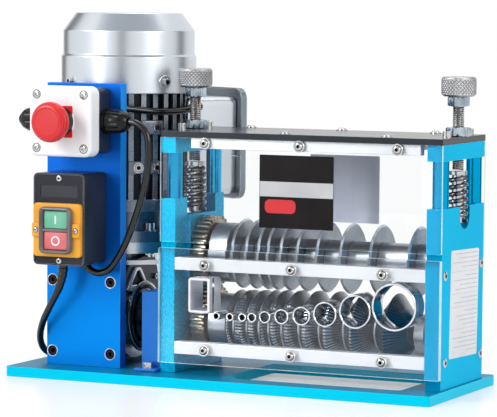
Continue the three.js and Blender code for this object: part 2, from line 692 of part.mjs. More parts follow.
// Worm gearbox: cast shell round the wheel, hubs on the wheel's axis, upright worm barrel and input flange.
function gearboxHousing() {
  const halfWidth = gearbox.width * half;
  const halfShell = gearbox.shellWidth * half;
  const footTop = floorTop + gearbox.footLift + gearbox.footHeight;
  const footFront = plateWallBack + gap;
  const casting = join(
    rodX(gearbox.shellRadius, motorX - halfShell, motorX + halfShell, shaftY, lowerZ),
    rodX(gearbox.hubRadius, motorX - halfWidth, motorX + halfWidth, shaftY, lowerZ, 20),
    rodX(gearbox.sealRadius, motorX + halfWidth - overrun, motorX + halfWidth + gearbox.sealThick,
      shaftY, lowerZ, 20),
    block(motorX - halfShell, motorX + halfShell, footFront, footFront + gearbox.footThick,
      floorTop + gearbox.footLift, footTop),
    block(motorX - halfShell, motorX + halfShell, footFront, motorY, footTop - gearbox.ribThick, footTop),
    block(motorX - gearbox.ribThick, motorX + gearbox.ribThick, footFront, motorY,
      floorTop + gearbox.footLift, footTop),
    rodZ(gearbox.barrelRadius, motorX, motorY, floorTop + gearbox.footLift, gearboxTop + gap, 20),
    rodZ(gearbox.flangeRadius, motorX, motorY, gearboxTop, gearboxTop + gearbox.flangeThick, 32),
  );
  const bore = rodX(shaft.radius + slide, gearboxRight - shaft.tailInGearbox - slide,
    gearboxRight + gearbox.sealThick + overrun, shaftY, lowerZ, 16);
  piece('gearbox_housing', cut(casting, bore), castAluminium);
}

// Motor: input flange, end shield, finned body and the rear bell that carries the fan cover.
function motorBody() {
  const points = [];
  const step = fullTurn / motor.fins;
  for (let k = 0; k < motor.fins; k += 1) {
    const finHalf = motor.finShare * step * half;
    const corners = [
      [motor.rootRadius, -finHalf], [motor.finRadius, -finHalf],
      [motor.finRadius, finHalf], [motor.rootRadius, finHalf],
    ];
    corners.forEach(([radius, angle]) => {
      const turn = k * step + angle;
      points.push(new THREE.Vector2(radius * Math.cos(turn), radius * Math.sin(turn)));
    });
  }
  const neckFoot = motorFoot + motor.flangeThick;
  const shieldFoot = neckFoot + motor.neckHeight;
  const fins = extrude(new THREE.Shape(points), motor.bodyHeight + 2 * gap);
  const body = join(
    rodZ(motor.flangeRadius, motorX, motorY, motorFoot, neckFoot, 32),
    rodZ(motor.neckRadius, motorX, motorY, neckFoot - gap, shieldFoot + gap),
    rodZ(motor.shieldRadius, motorX, motorY, shieldFoot, finFoot, 32),
    fins.translate(motorX, motorY, finFoot - gap),
    rodZ(motor.bellRadius, motorX, motorY, bellFoot, bellTop, 32),
  );
  const shaftHole = rodZ(fan.stubRadius + slide, motorX, motorY,
    bellTop - fan.stubDepth - slide, bellTop + overrun);
  piece('motor_body', cut(body, shaftHole), darkCasting);
}

// Fan and its cover with a slotted top.
function motorFan() {
  const hubFoot = bellTop + fan.lift;
  const blades = Array.from({ length: fan.blades }, (_, k) => {
    const vane = block(0, fan.radius, -fan.bladeThick * half, fan.bladeThick * half,
      hubFoot, hubFoot + fan.bladeHeight);
    return vane.rotateZ(fullTurn * k / fan.blades).translate(motorX, motorY, 0);
  });
  const hub = rodZ(fan.hubRadius, motorX, motorY, hubFoot, hubFoot + fan.hubHeight);
  const stub = rodZ(fan.stubRadius, motorX, motorY, bellTop - fan.stubDepth, hubFoot + gap);
  piece('motor_fan', join(hub, stub, ...blades), blackPlastic);
}

function fanCoverShell() {
  const foot = bellFoot + gap;
  const stepZ = foot + fanCover.skirtHeight;
  const top = foot + fanCover.height;
  const shoulder = top - fanCover.chamferHeight;
  const inner = (radius) => radius - fanCover.wall;
  const profile = [
    [top - fanCover.wall, 0], [top - fanCover.wall, inner(fanCover.topRadius)],
    [shoulder - fanCover.wall * half, inner(fanCover.upperRadius)],
    [stepZ + fanCover.stepHeight, inner(fanCover.upperRadius)], [stepZ, inner(fanCover.radius)],
    [foot, inner(fanCover.radius)], [foot, fanCover.radius], [stepZ, fanCover.radius],
    [stepZ + fanCover.stepHeight, fanCover.upperRadius], [shoulder, fanCover.upperRadius],
    [top, fanCover.topRadius], [top, 0],
  ];
  const slots = Array.from({ length: fanCover.slots }, (_, k) => {
    const slot = block(fanCover.slotInner, fanCover.slotOuter, -fanCover.slotWidth * half,
      fanCover.slotWidth * half, top - fanCover.wall - overrun, top + overrun);
    return slot.rotateZ(fullTurn * k / fanCover.slots).translate(motorX, motorY, 0);
  });
  piece('motor_fan_cover', cut(alongZ(lathe(profile, 32), motorX, motorY), ...slots), castAluminium);
}

// Terminal box saddled to the motor's fins, with a lipped and domed lid. It is drawn along X, then turned.
const terminalFoot = floorTop + terminal.foot;
const terminalTop = terminalFoot + terminal.height;
const tubSide = terminal.width * half;

function atMotor(geometry) {
  return geometry.rotateZ(terminal.turn).translate(motorX, motorY, 0);
}

function terminalBox() {
  const outline = roundedOutline(-tubSide, tubSide, terminalFoot, terminalTop, terminal.corner);
  const saddle = rodZ(motor.shieldRadius + slide, 0, 0, terminalFoot - overrun, terminalTop + overrun, 32);
  piece('terminal_box', atMotor(cut(plateX(extrude(outline, terminal.reach, 2), 0), saddle)), castAluminium);

  const lidSide = tubSide + terminal.lidOver;
  const lidFoot = terminalFoot - terminal.lidDrop;
  const lidTop = terminalTop + terminal.lidRise;
  const lip = plateX(extrude(roundedOutline(-lidSide, lidSide, lidFoot, lidTop, terminal.lidCorner),
    terminal.lidThick, 3), terminal.reach + gap);
  const inset = terminal.domeInset + terminal.domeBevel;
  const domeOutline = roundedOutline(inset - lidSide, lidSide - inset, lidFoot + inset, lidTop - inset,
    terminal.corner);
  const dome = new THREE.ExtrudeGeometry(domeOutline, {
    depth: terminal.domeRise, bevelEnabled: true, bevelThickness: terminal.domeBevel,
    bevelSize: terminal.domeBevel, bevelSegments: 2, curveSegments: 2,
  });
  const domePlace = terminal.reach + terminal.lidThick - terminal.domeBevel;
  piece('terminal_box_lid', atMotor(join(lip, plateX(dome, domePlace))), castAluminium);
}

// A place beside the terminal box, out from the side that faces the column.
function besideTerminal(out) {
  const place = new THREE.Vector3(terminal.leadAt, -tubSide - out, terminalTop - terminal.leadDrop);
  return place.applyAxisAngle(new THREE.Vector3(0, 0, 1), terminal.turn)
    .add(new THREE.Vector3(motorX, motorY, 0)).toArray();
}

// Emergency stop: base and cover on the front plate, mushroom button, and a gland on each side.
const stopLeft = baseLeft + stopBox.start;
const stopRight = stopLeft + stopBox.width;
const stopFoot = floorTop + stopBox.lift;
const stopX = (stopLeft + stopRight) * half;
const stopZ = stopFoot + stopBox.width * half;
const boxBack = motorPlate.front - gap;
const stopCoverBack = boxBack - stopBox.baseDepth - gap;
const stopFace = stopCoverBack - stopBox.coverDepth;

function emergencyStop() {
  const inset = stopBox.baseInset;
  const top = stopFoot + stopBox.width;
  const bore = rodY(stopBox.stemRadius + slide, stopX, stopFace - stopBox.collarHeight - overrun,
    stopFace + stopBox.boreDepth, stopZ);
  const baseOutline = roundedOutline(stopLeft + inset, stopRight - inset, stopFoot + inset, top - inset,
    stopBox.corner - inset);
  piece('stop_box_base', cut(plateY(extrude(baseOutline, stopBox.baseDepth, 2), boxBack), bore),
    blackPlastic);
  const coverOutline = roundedOutline(stopLeft, stopRight, stopFoot, top, stopBox.corner);
  const cover = plateY(extrude(coverOutline, stopBox.coverDepth, 3), stopCoverBack);
  const collar = rodY(stopBox.collarRadius, stopX, stopFace - stopBox.collarHeight,
    stopFace + overrun, stopZ);
  piece('stop_box_cover', cut(join(cover, collar), bore), whitePlastic);

  const headBack = stopFace - stopBox.collarHeight - stopBox.standoff;
  const headFront = headBack - stopBox.headThick;
  const profile = [
    [headFront, 0], [headFront, stopBox.headRadius - stopBox.headEdge],
    [headFront + stopBox.headEdge * half, stopBox.headRadius - stopBox.headEdge * half * half],
    [headFront + stopBox.headEdge, stopBox.headRadius],
    [headBack - stopBox.headEdge * half, stopBox.headRadius],
    [headBack, stopBox.headRadius - stopBox.headEdge * half], [headBack, stopBox.stemRadius],
    [stopFace - stopBox.collarHeight + stopBox.stemDepth, stopBox.stemRadius],
    [stopFace - stopBox.collarHeight + stopBox.stemDepth, 0],
  ];
  piece('stop_button', lathe(profile, 20).translate(stopX, 0, stopZ), redPlastic);
}

const glandY = boxBack - stopBox.baseDepth * half;

function glands() {
  const ring = gland.length * gland.ringShare;
  const profile = [
    [0, 0], [0, gland.radius], [gland.flange, gland.radius], [gland.flange, gland.neckRadius],
    [ring, gland.radius], [gland.length - gland.flange, gland.neckRadius],
    [gland.length, gland.mouthRadius], [gland.length, 0],
  ];
  const domeProfile = [
    ...profile.slice(0, 6),
    [gland.length + gland.domeHeight * half, gland.mouthRadius], [gland.length + gland.domeHeight, 0],
  ];
  const rightFace = stopRight - stopBox.baseInset + gap;
  const leftFace = stopLeft + stopBox.baseInset - gap;
  piece('right_gland', alongX(lathe(profile, 16), glandY, stopZ).translate(rightFace, 0, 0), blackRubber);
  const dome = alongX(lathe(domeProfile, 16), 0, 0).rotateZ(Math.PI).translate(leftFace, glandY, stopZ);
  piece('left_gland', dome, blackRubber);
}

// Start and off switch: box on the front plate, yellow frame over it, two buttons that travel inwards.
const switchLeft = baseLeft + switchBox.start;
const switchRight = switchLeft + switchBox.width;
const switchFoot = floorTop + switchBox.lift;
const switchX = (switchLeft + switchRight) * half;
const switchFace = boxBack - switchBox.depth;
const frameFoot = switchFoot + switchFrame.lift;
const frameMiddle = frameFoot + switchFrame.height * half;
const frameFace = switchFace - gap - switchFrame.thick;

function switchUnit() {
  const top = switchFoot + switchBox.height;
  const body = plateY(extrude(roundedOutline(switchLeft, switchRight, switchFoot, top, switchBox.corner),
    switchBox.depth, 2), boxBack);
  const cavityHalf = switchBox.cavityWidth * half;
  const cavityTop = frameMiddle + switchBox.cavityHeight * half;
  const cavity = block(switchX - cavityHalf, switchX + cavityHalf, switchFace - overrun,
    switchFace + switchBox.cavityDepth, cavityTop - switchBox.cavityHeight, cavityTop);
  const labelHalf = switchBox.labelWidth * half;
  const labelTop = top - switchBox.labelTop;
  const label = block(switchX - labelHalf, switchX + labelHalf, switchFace - overrun,
    switchFace + switchBox.labelDepth, labelTop - switchBox.labelHeight, labelTop);
  piece('switch_box', cut(body, cavity, label), blackPlastic);

  const frameHalf = switchFrame.width * half;
  const shape = roundedOutline(switchX - frameHalf, switchX + frameHalf, frameFoot,
    frameFoot + switchFrame.height, switchFrame.corner);
  const tabs = [switchX - frameHalf, switchX + frameHalf - switchFrame.tabWidth].map((left) => (
    block(left, left + switchFrame.tabWidth, frameFace - switchFrame.tabRise, frameFace + gap,
      frameMiddle - switchFrame.tabHeight * half, frameMiddle + switchFrame.tabHeight * half)));
  const buttonHalf = button.width * half;
  const names = ['off_button', 'start_button'];
  const levels = [frameMiddle - button.spacing * half, frameMiddle + button.spacing * half];
  const holes = levels.map((z) => block(switchX - buttonHalf - slide, switchX + buttonHalf + slide,
    frameFace - overrun, switchFace + overrun,
    z - button.height * half - slide, z + button.height * half + slide));
  const plate = plateY(extrude(shape, switchFrame.thick, 2), switchFace - gap);
  piece('switch_frame', cut(join(plate, ...tabs), ...holes), yellowPlastic);

  const looks = [paleRedPlastic, greenPlastic];
  levels.forEach((z, k) => {
    const outline = roundedOutline(switchX - buttonHalf, switchX + buttonHalf, z - button.height * half,
      z + button.height * half, button.corner);
    const back = frameFace - button.proud + button.depth;
    piece(names[k], plateY(extrude(outline, button.depth, 2), back), looks[k]);
  });
}

// Guard over the coupling between the gearbox and the left column: a bent sheet on two feet.
function couplingGuard() {
  const top = floorTop + guard.height;
  const foot = floorTop + gap;
  const frontInside = guard.front + guard.wall;
  const backInside = guard.back - guard.wall;
  const corners = [
    [guard.front - guard.footReach, foot], [frontInside, foot], [frontInside, top - guard.wall],
    [backInside, top - guard.wall], [backInside, foot], [guard.back + guard.footReach, foot],
    [guard.back + guard.footReach, foot + guard.wall], [guard.back, foot + guard.wall], [guard.back, top],
    [guard.front, top], [guard.front, foot + guard.wall], [guard.front - guard.footReach, foot + guard.wall],
  ];
  const shape = new THREE.Shape(corners.map(([y, z]) => new THREE.Vector2(y, z)));
  piece('coupling_guard', plateX(extrude(shape, guard.width), baseLeft + guard.start), bluePaint);
}

// The mains lead lies wound behind the machine: inwards on the floor, up one layer and outwards again.
const coilLow = cord.radius + coil.clearFloor;

function coilCentres() {
  const turns = 2 * coil.turnsEachWay + coil.reversal;
  const steps = Math.round(turns * coil.stepsPerTurn);
  const wound = Array.from({ length: steps + 1 }, (_, k) => {
    const turn = k / coil.stepsPerTurn;
    const inward = Math.min(turn, coil.turnsEachWay);
    const outward = Math.max(turn - coil.turnsEachWay - coil.reversal, 0);
    const radius = coil.outerRadius - coil.pitch * (inward - outward);
    const climb = THREE.MathUtils.clamp((turn - coil.turnsEachWay) / coil.reversal, 0, 1);
    const angle = Math.PI - fullTurn * turn;
    return new THREE.Vector3(coil.centreX + radius * Math.cos(angle), coil.centreY + radius * Math.sin(angle),
      coilLow + coil.layerPitch * climb);
  });
  const start = wound[0].clone().add(new THREE.Vector3(0, -coil.startRun, 0));
  const end = wound[steps].clone().add(new THREE.Vector3(0, coil.endRun, 0));
  return [start, ...wound, end];
}

const coilLine = coilCentres();
const coilEnd = coilLine[coilLine.length - 1];

// Leads. Each starts and ends with a short straight run, square to the face that it meets.
function leads() {
  const run = cord.straight;
  const glandEnd = stopRight - stopBox.baseInset + gap + gland.length + slide;
  const underSwitch = switchFoot - slide;
  piece('link_lead', tube([
    [glandEnd, glandY, stopZ], [glandEnd + run, glandY, stopZ], ...linkPlaces,
    [linkEntry.x, linkEntry.y, underSwitch - run], [linkEntry.x, linkEntry.y, underSwitch],
  ], cord.linkSteps), blackRubber);
  const wall = plateWallBack + slide;
  piece('motor_lead', tube([
    [motorLeadExit.x, wall, motorLeadExit.z], [motorLeadExit.x, wall + run, motorLeadExit.z],
    ...motorLeadPlaces,
    besideTerminal(slide + run), besideTerminal(slide),
  ], cord.motorSteps), blackRubber);
  const coilStart = coilLine[0];
  piece('mains_lead', tube([
    [mainsEntry.x, mainsEntry.y, underSwitch], [mainsEntry.x, mainsEntry.y, underSwitch - run],
    ...mainsPlaces,
    [coilStart.x, coilStart.y - slide - run, coilStart.z], [coilStart.x, coilStart.y - slide, coilStart.z],
  ], cord.mainsSteps), blackRubber);
}

function mainsCoil() {
  console.log('mains coil: least gap to itself',
    leastGap(coilLine, cord.radius, coil.stepsPerTurn).toFixed(2), 'mm');
  piece('mains_coil', woundTube(coilLine, cord.radius, coil.sides), blackRubber);
}

// Plug with a tapered relief, two flat blades and a round pin, pointing away from the coil.
function mainsPlug() {
  const mouth = slide;
  const bodyStart = mouth + plug.reliefLength;
  const bodyEnd = bodyStart + plug.bodyLength;
  const relief = lathe([
    [mouth, 0], [mouth, plug.mouthRadius], [bodyStart + overrun, plug.reliefRadius], [bodyStart + overrun, 0],
  ], 14);
  const outline = roundedOutline(-plug.bodyWidth * half, plug.bodyWidth * half,
    -plug.bodyHeight * half, plug.bodyHeight * half, plug.bodyCorner);
  const body = plateY(extrude(outline, plug.bodyLength, 2), bodyEnd);
  const bladeEnd = bodyEnd + plug.bladeLength;
  const blades = [-1, 1].map((side) => {
    const x = side * plug.bladeSpacing * half;
    return block(x - plug.bladeThick * half, x + plug.bladeThick * half, bodyEnd - overrun, bladeEnd,
      plug.bladeRise - plug.bladeWidth * half, plug.bladeRise + plug.bladeWidth * half);
  });
  const pin = rodY(plug.pinRadius, 0, bodyEnd - overrun, bladeEnd + overrun, -plug.pinDrop, 12);
  const whole = join(relief, body, ...blades, pin);
  piece('mains_plug', whole.translate(coilEnd.x, coilEnd.y, coilEnd.z), blackRubber);
}

basePlate();
columns();
blackTopPlate();
crossBars();
windows();
guides();
bladeShaft();
feedShaft();
heightAdjusters();
frontPlate();
gearboxHousing();
motorBody();
motorFan();
fanCoverShell();
terminalBox();
emergencyStop();
glands();
switchUnit();
couplingGuard();
leads();
mainsCoil();
mainsPlug();

// The origin is under the middle of the machine, without the mains lead behind it.
const cords = ['mains_lead', 'mains_coil', 'mains_plug', 'link_lead', 'motor_lead'];
const bounds = new THREE.Box3();
machine.children.filter((mesh) => !cords.includes(mesh.name)).forEach((mesh) => bounds.expandByObject(mesh));
const middle = bounds.getCenter(new THREE.Vector3());
machine.position.set(-middle.x, -middle.y, -bounds.min.z);
console.log('moved by', machine.position.toArray().map((v) => v.toFixed(3)).join(' '));

export default machine;
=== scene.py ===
import json
from math import atan2, cos, pi, radians, sin, sqrt

import bmesh
import bpy
from mathutils import Matrix, Vector


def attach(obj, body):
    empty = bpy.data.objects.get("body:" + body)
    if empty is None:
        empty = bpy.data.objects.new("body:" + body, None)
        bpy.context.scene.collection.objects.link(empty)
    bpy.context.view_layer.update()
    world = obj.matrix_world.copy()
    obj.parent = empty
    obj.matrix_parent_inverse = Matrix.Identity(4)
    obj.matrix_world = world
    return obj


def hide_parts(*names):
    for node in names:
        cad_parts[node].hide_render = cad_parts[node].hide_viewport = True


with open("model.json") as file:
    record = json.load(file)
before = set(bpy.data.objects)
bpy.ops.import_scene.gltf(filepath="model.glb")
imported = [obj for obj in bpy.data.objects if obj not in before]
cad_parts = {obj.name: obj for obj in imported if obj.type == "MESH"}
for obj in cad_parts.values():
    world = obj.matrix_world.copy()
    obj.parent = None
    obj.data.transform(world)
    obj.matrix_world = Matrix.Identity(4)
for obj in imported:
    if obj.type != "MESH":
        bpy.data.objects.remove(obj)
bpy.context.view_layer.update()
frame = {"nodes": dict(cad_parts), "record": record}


# Camera, table and light: the machine stands on a pale table and is seen past its right front corner,
# from a little above it, through a long lens, in the soft light of three large lamps and a strip.
def heading(degrees):
    return Vector((cos(radians(degrees)), sin(radians(degrees)), 0))


def add(name, data):
    thing = bpy.data.objects.new(name, data)
    bpy.context.scene.collection.objects.link(thing)
    return thing


def node(tree, kind, inputs=(), **settings):
    """A shader node with its settings. Each input is given a value, or linked where that is a socket."""
    made = tree.nodes.new("ShaderNode" + kind)
    for setting, value in settings.items():
        setattr(made, setting, value)
    for socket, value in dict(inputs).items():
        if isinstance(value, bpy.types.NodeSocket):
            tree.links.new(value, made.inputs[socket])
        else:
            made.inputs[socket].default_value = value
    return made


def calculated(tree, operation, *values, clamp=False):
    return node(tree, "Math", dict(enumerate(values)), operation=operation, use_clamp=clamp).outputs[0]


def new_material(name):
    material = bpy.data.materials.new(name)
    material.use_nodes = True
    material.node_tree.nodes.clear()
    return material, material.node_tree


def seen_share(tree):
    """1 on rays from the camera, from gloss and through glass, and 0 on light that falls on the object."""
    path = node(tree, "LightPath")
    total = path.outputs["Is Camera Ray"]
    for ray in ("Is Glossy Ray", "Is Transmission Ray"):
        total = calculated(tree, "MAXIMUM", total, path.outputs[ray])
    return total


def four_cornered(name, corners, material):
    mesh = bpy.data.meshes.new(name)
    mesh.from_pydata(corners, [], [(0, 1, 2, 3)])
    mesh.materials.append(material)
    return add(name, mesh)


camera = add("camera", bpy.data.cameras.new("camera"))
camera.data.lens, camera.data.sensor_width, camera.data.clip_end = 204.48, 36, 60
camera.matrix_world = Matrix((
    (0.903954, -0.0393968, 0.425812, 1.199619),
    (0.427561, 0.0652737, -0.9016269, -2.571857),
    (0.0077269, 0.9970894, 0.0758489, 0.387315),
    (0, 0, 0, 1),
))
bpy.context.scene.camera = camera
bpy.context.scene.view_settings.view_transform = "Standard"

world = bpy.data.worlds.new("room")
bpy.context.scene.world = world
world.use_nodes = True
room = world.node_tree
room.nodes.clear()
daylight = node(room, "Background", {"Color": (0.97, 0.985, 1, 1), "Strength": 0.42})
backdrop = node(room, "Background", {"Color": (1, 1, 1, 1), "Strength": 1})
choice = node(room, "MixShader", {"Fac": seen_share(room), 1: daylight.outputs[0], 2: backdrop.outputs[0]})
node(room, "OutputWorld", {"Surface": choice.outputs[0]})

table_white, tree = new_material("table white")
cloth = node(tree, "BsdfPrincipled", {
    "Base Color": (0.66, 0.66, 0.67, 1), "Roughness": 0.3, "Specular IOR Level": 0.12})
glow = node(tree, "Emission", {"Strength": calculated(tree, "MULTIPLY", seen_share(tree), 0.31)})
near_white = node(tree, "AddShader", {0: cloth.outputs[0], 1: glow.outputs[0]})
from_middle = node(tree, "VectorMath", {0: node(tree, "NewGeometry").outputs["Position"]}, operation="LENGTH")
distance = node(tree, "MapRange", {"Value": from_middle.outputs["Value"], "From Min": 0.5, "From Max": 1.1})
fade = node(tree, "MixShader", {
    "Fac": distance.outputs[0], 1: near_white.outputs[0], 2: node(tree, "Emission").outputs[0]})
node(tree, "OutputMaterial", {"Surface": fade.outputs[0]})
around = ((-1, -1), (1, -1), (1, 1), (-1, 1))
table_reach, table_drop = 9, 0.0002
table_corners = [(table_reach * a, table_reach * b, -table_drop) for a, b in around]
four_cornered("table", table_corners, table_white)

for name, spot, size, power in (
    ("left lamp", (-1.5, -1.5, 1.5), (0.9, 0.9), 22),
    ("right lamp", (1.9, -0.7, 1.0), (0.8, 0.8), 15),
    ("top lamp", (0.1, 0.3, 2.0), (1.3, 1.3), 15),
    ("strip lamp", (-0.9, -1.7, 0.9), (0.16, 1.3), 8),
):
    lamp = bpy.data.lights.new(name, "AREA")
    lamp.shape, lamp.size, lamp.size_y, lamp.energy = "RECTANGLE", *size, power
    holder = add(name, lamp)
    holder.location = spot
    holder.rotation_euler = (Vector((0, 0, 0.15)) - Vector(spot)).to_track_quat("-Z", "Y").to_euler()

# Dark cards stand round the table and show only in gloss, so that metal has its dark bands.
for name, azimuth, height, far, half_wide, half_high, shade in (
    ("front card", -80, 0.5, 1.6, 0.2, 1.1, 0.03), ("side card", 44, 0.4, 1.5, 0.26, 0.9, 0.03),
    ("left card", 156, 0.4, 1.5, 0.26, 0.9, 0.03), ("over card", -60, 1.8, 0.36, 1.5, 0.5, 0.24),
):
    card_felt, tree = new_material(name + " felt")
    felt = node(tree, "BsdfDiffuse", {"Color": (shade, shade * 1.1, shade * 1.25, 1)})
    node(tree, "OutputMaterial", {"Surface": felt.outputs[0]})
    middle, side = heading(azimuth) * far + Vector((0, 0, height)), heading(azimuth + 90)
    up = side.cross(middle - Vector((0, 0, 0.15))).normalized()
    card_corners = [middle + side * half_wide * a + up * half_high * b for a, b in around]
    card = four_cornered(name, card_corners, card_felt)
    card.visible_camera = card.visible_diffuse = card.visible_shadow = card.visible_transmission = False


# Leads: round black rubber-sheathed cable, 7 mm thick. The mains lead runs back along the base to a coil
# behind the machine, held by a tie. The short leads hang from the stop box and across to the motor.
def srgb(red, green, blue):
    """A colour as it is seen, from 0 to 255, for a shader."""
    parts = [c / 255 for c in (red, green, blue)]
    return [c / 12.92 if c <= 0.04045 else ((c + 0.055) / 1.055) ** 2.4 for c in parts] + [1]


def new_group(name, inputs, outputs):
    group = bpy.data.node_groups.new(name, "ShaderNodeTree")
    for socket, value in inputs.items():
        entry = group.interface.new_socket(socket, in_out="INPUT", socket_type="NodeSocketFloat")
        entry.default_value = value
    for socket in outputs:
        group.interface.new_socket(socket, in_out="OUTPUT", socket_type="NodeSocketFloat")
    return group, group.nodes.new("NodeGroupInput").outputs, group.nodes.new("NodeGroupOutput").inputs


# Grain is the fine texture that a tool, a mould or a blast leaves, drawn out along an axis by a stretch
# below 1. Cloud is the slow change of tone over a piece.
surface_grain, given, result = new_group("surface grain", {
    "Grain Scale": 900, "Stretch X": 1, "Stretch Y": 1, "Stretch Z": 1, "Cloud Scale": 14},
    ("Grain", "Cloud"))
whole = node(surface_grain, "TexCoord").outputs["Object"]
stretch = node(surface_grain, "CombineXYZ", {axis: given["Stretch " + axis] for axis in "XYZ"})
stretched = node(surface_grain, "VectorMath", {0: whole, 1: stretch.outputs[0]}, operation="MULTIPLY")
for look, vector, detail in (("Grain", stretched.outputs[0], 3), ("Cloud", whole, 2)):
    noise = node(surface_grain, "TexNoise", {
        "Scale": given[look + " Scale"], "Detail": detail, "Vector": vector})
    surface_grain.links.new(noise.outputs["Fac"], result[look])

# Edge is 1 where a corner is near, so that corners take another colour: a painted highlight along the edges.
near_edge, given, result = new_group("near edge", {"Width": 0.0006}, ("Edge",))
rounded = node(near_edge, "Bevel", {"Radius": given["Width"]}, samples=4)
likeness = node(near_edge, "VectorMath", {
    0: rounded.outputs[0], 1: node(near_edge, "NewGeometry").outputs["Normal"]}, operation="DOT_PRODUCT")
spread = node(near_edge, "MapRange", {"Value": likeness.outputs["Value"], "From Min": 0.995, "From Max": 0.9})
near_edge.links.new(spread.outputs[0], result["Edge"])


def mixed(tree, share, beneath, over):
    return node(tree, "Mix", {"Factor": share, "A": beneath, "B": over}, data_type="RGBA").outputs["Result"]


def finish(name, dark, light, rough, metallic=0.0, grain=2400, stretch=(1, 1, 1), cloud=30, bump=0.05,
           edge=None, tint=(1, 1, 1), specular=0.5, foot=None):
    """A surface whose colour drifts from dark to light, with grained roughness and fine relief. An edge is a
    painted highlight: a colour along the corners and its width in metres. A foot colour, with two heights,
    takes over towards the lower one, as painted light or shade."""
    material, tree = new_material(name)
    texture = node(tree, "Group", {"Grain Scale": grain, "Cloud Scale": cloud, "Stretch X": stretch[0],
                                   "Stretch Y": stretch[1], "Stretch Z": stretch[2]}, node_tree=surface_grain)
    tone = node(tree, "MapRange", {"Value": texture.outputs["Cloud"], "From Min": 0.3, "From Max": 0.7})
    colour = mixed(tree, tone.outputs[0], srgb(*dark), srgb(*light))
    # Painted light or shade: the foot colour takes over towards the bottom.
    if foot:
        height = node(tree, "SeparateXYZ", {0: node(tree, "TexCoord").outputs["Object"]}).outputs["Z"]
        painted_light_share = node(tree, "MapRange", {"Value": height, "From Min": foot[2], "From Max": foot[1]},
                    interpolation_type="SMOOTHSTEP")
        colour = mixed(tree, painted_light_share.outputs[0], colour, srgb(*foot[0]))
    # The edge colour is a painted highlight along the corners.
    if edge:
        border = node(tree, "Group", {"Width": edge[1]}, node_tree=near_edge)
        colour = mixed(tree, border.outputs["Edge"], colour, srgb(*edge[0]))
    grained = node(tree, "MapRange", {"Value": texture.outputs["Grain"], "From Min": 0.3, "From Max": 0.7,
                                      "To Min": rough[0], "To Max": rough[1]})
    raised = node(tree, "Bump", {"Strength": bump, "Distance": 0.0003, "Height": texture.outputs["Grain"]})
    shader = node(tree, "BsdfPrincipled", {
        "Base Color": colour, "Metallic": metallic, "Roughness": grained.outputs[0],
        "Normal": raised.outputs[0], "Specular IOR Level": specular, "Specular Tint": (*tint, 1)})
    node(tree, "OutputMaterial", {"Surface": shader.outputs[0]})
    return material


def place(x, y, z):
    """Millimetres from the middle of the base's front edge, as a point of the frame, in metres."""
    return Vector((x - 2, y - 113.084, z)) / 1000


def smooth_route(places, steps=12):
    """Points on one smooth curve through the places, in metres."""
    points = [place(*p) for p in places]
    ends = [2 * points[0] - points[1]] + points + [2 * points[-1] - points[-2]]
    route = []
    for before, start, end, after in zip(ends, ends[1:], ends[2:], ends[3:]):
        gaps = [sqrt((b - a).length) for a, b in ((before, start), (start, end), (end, after))]
        leave = ((start - before) / gaps[0] - (end - before) / (gaps[0] + gaps[1])
                 + (end - start) / gaps[1]) * gaps[1]
        arrive = ((end - start) / gaps[1] - (after - start) / (gaps[1] + gaps[2])
                  + (after - end) / gaps[2]) * gaps[1]
        for k in range(steps):
            t = k / steps
            route.append(start + leave * t + (3 * (end - start) - 2 * leave - arrive) * t ** 2
                         + (2 * (start - end) + leave + arrive) * t ** 3)
    return route + [points[-1]]


def cable(name, route, *replaced):
    line = bpy.data.curves.new(name, "CURVE")
    line.dimensions, line.bevel_depth, line.bevel_resolution, line.use_fill_caps = "3D", 0.0035, 5, True
    spline = line.splines.new("POLY")
    spline.points.add(len(route) - 1)
    for spot, point in zip(spline.points, route):
        spot.co = (*point, 1)
    line.materials.append(rubber)
    lead = add(name, line)
    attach(lead, "stand")
    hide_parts(*replaced)
    return lead


def new_piece(name, bm, materials, slot, body="stand", edge=0.0, smooth=35, replaces=None):
    """A mesh piece, smooth up to an angle. Sharper edges are broken by a width in millimetres."""
    bmesh.ops.remove_doubles(bm, verts=bm.verts, dist=0.0000005)
    bmesh.ops.recalc_face_normals(bm, faces=bm.faces)
    mesh = bpy.data.meshes.new(name)
    bm.to_mesh(mesh)
    bm.free()
    for material in materials if isinstance(materials, list) else [materials]:
        mesh.materials.append(material)
    mesh.shade_smooth()
    mesh.set_sharp_from_angle(angle=radians(smooth))
    piece = add(name, mesh)
    if edge:
        broken = piece.modifiers.new("broken edges", "BEVEL")
        broken.width, broken.segments, broken.limit_method = edge / 1000, 2, "ANGLE"
        broken.angle_limit, broken.harden_normals = radians(smooth), True
        level = piece.modifiers.new("flat faces", "WEIGHTED_NORMAL")
        level.weight, level.keep_sharp = 100, True
    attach(piece, body)
    if replaces:
        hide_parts(replaces)
    return piece


def skin(bm, rings, closed=False, bands=None):
    """Faces between rings with as many points each, over the ends, or from the last back to the first. Bands
    are the material of each run of faces."""
    loops = [[bm.verts.new(point) for point in ring] for ring in rings]
    if closed:
        loops.append(loops[0])
    bands = bands or [0] * len(loops)
    for band, low, high in zip(bands, loops, loops[1:]):
        for k in range(len(low)):
            after = (k + 1) % len(low)
            bm.faces.new((low[k], low[after], high[after], high[k])).material_index = band
    if not closed:
        bm.faces.new(loops[0][::-1]).material_index = bands[0]
        bm.faces.new(loops[-1]).material_index = bands[-1]


def sweep(bm, route, radii, sides=12):
    """A round bar along a route, with a radius in metres at each of its points."""
    side = (route[1] - route[0]).orthogonal().normalized()
    rings = []
    for k, (point, radius) in enumerate(zip(route, radii)):
        ahead = (route[min(k + 1, len(route) - 1)] - route[max(k - 1, 0)]).normalized()
        side = (side - ahead * side.dot(ahead)).normalized()
        up = ahead.cross(side)
        rings.append([point + radius * (side * u + up * v) for u, v in circle(1, sides)])
    skin(bm, rings)


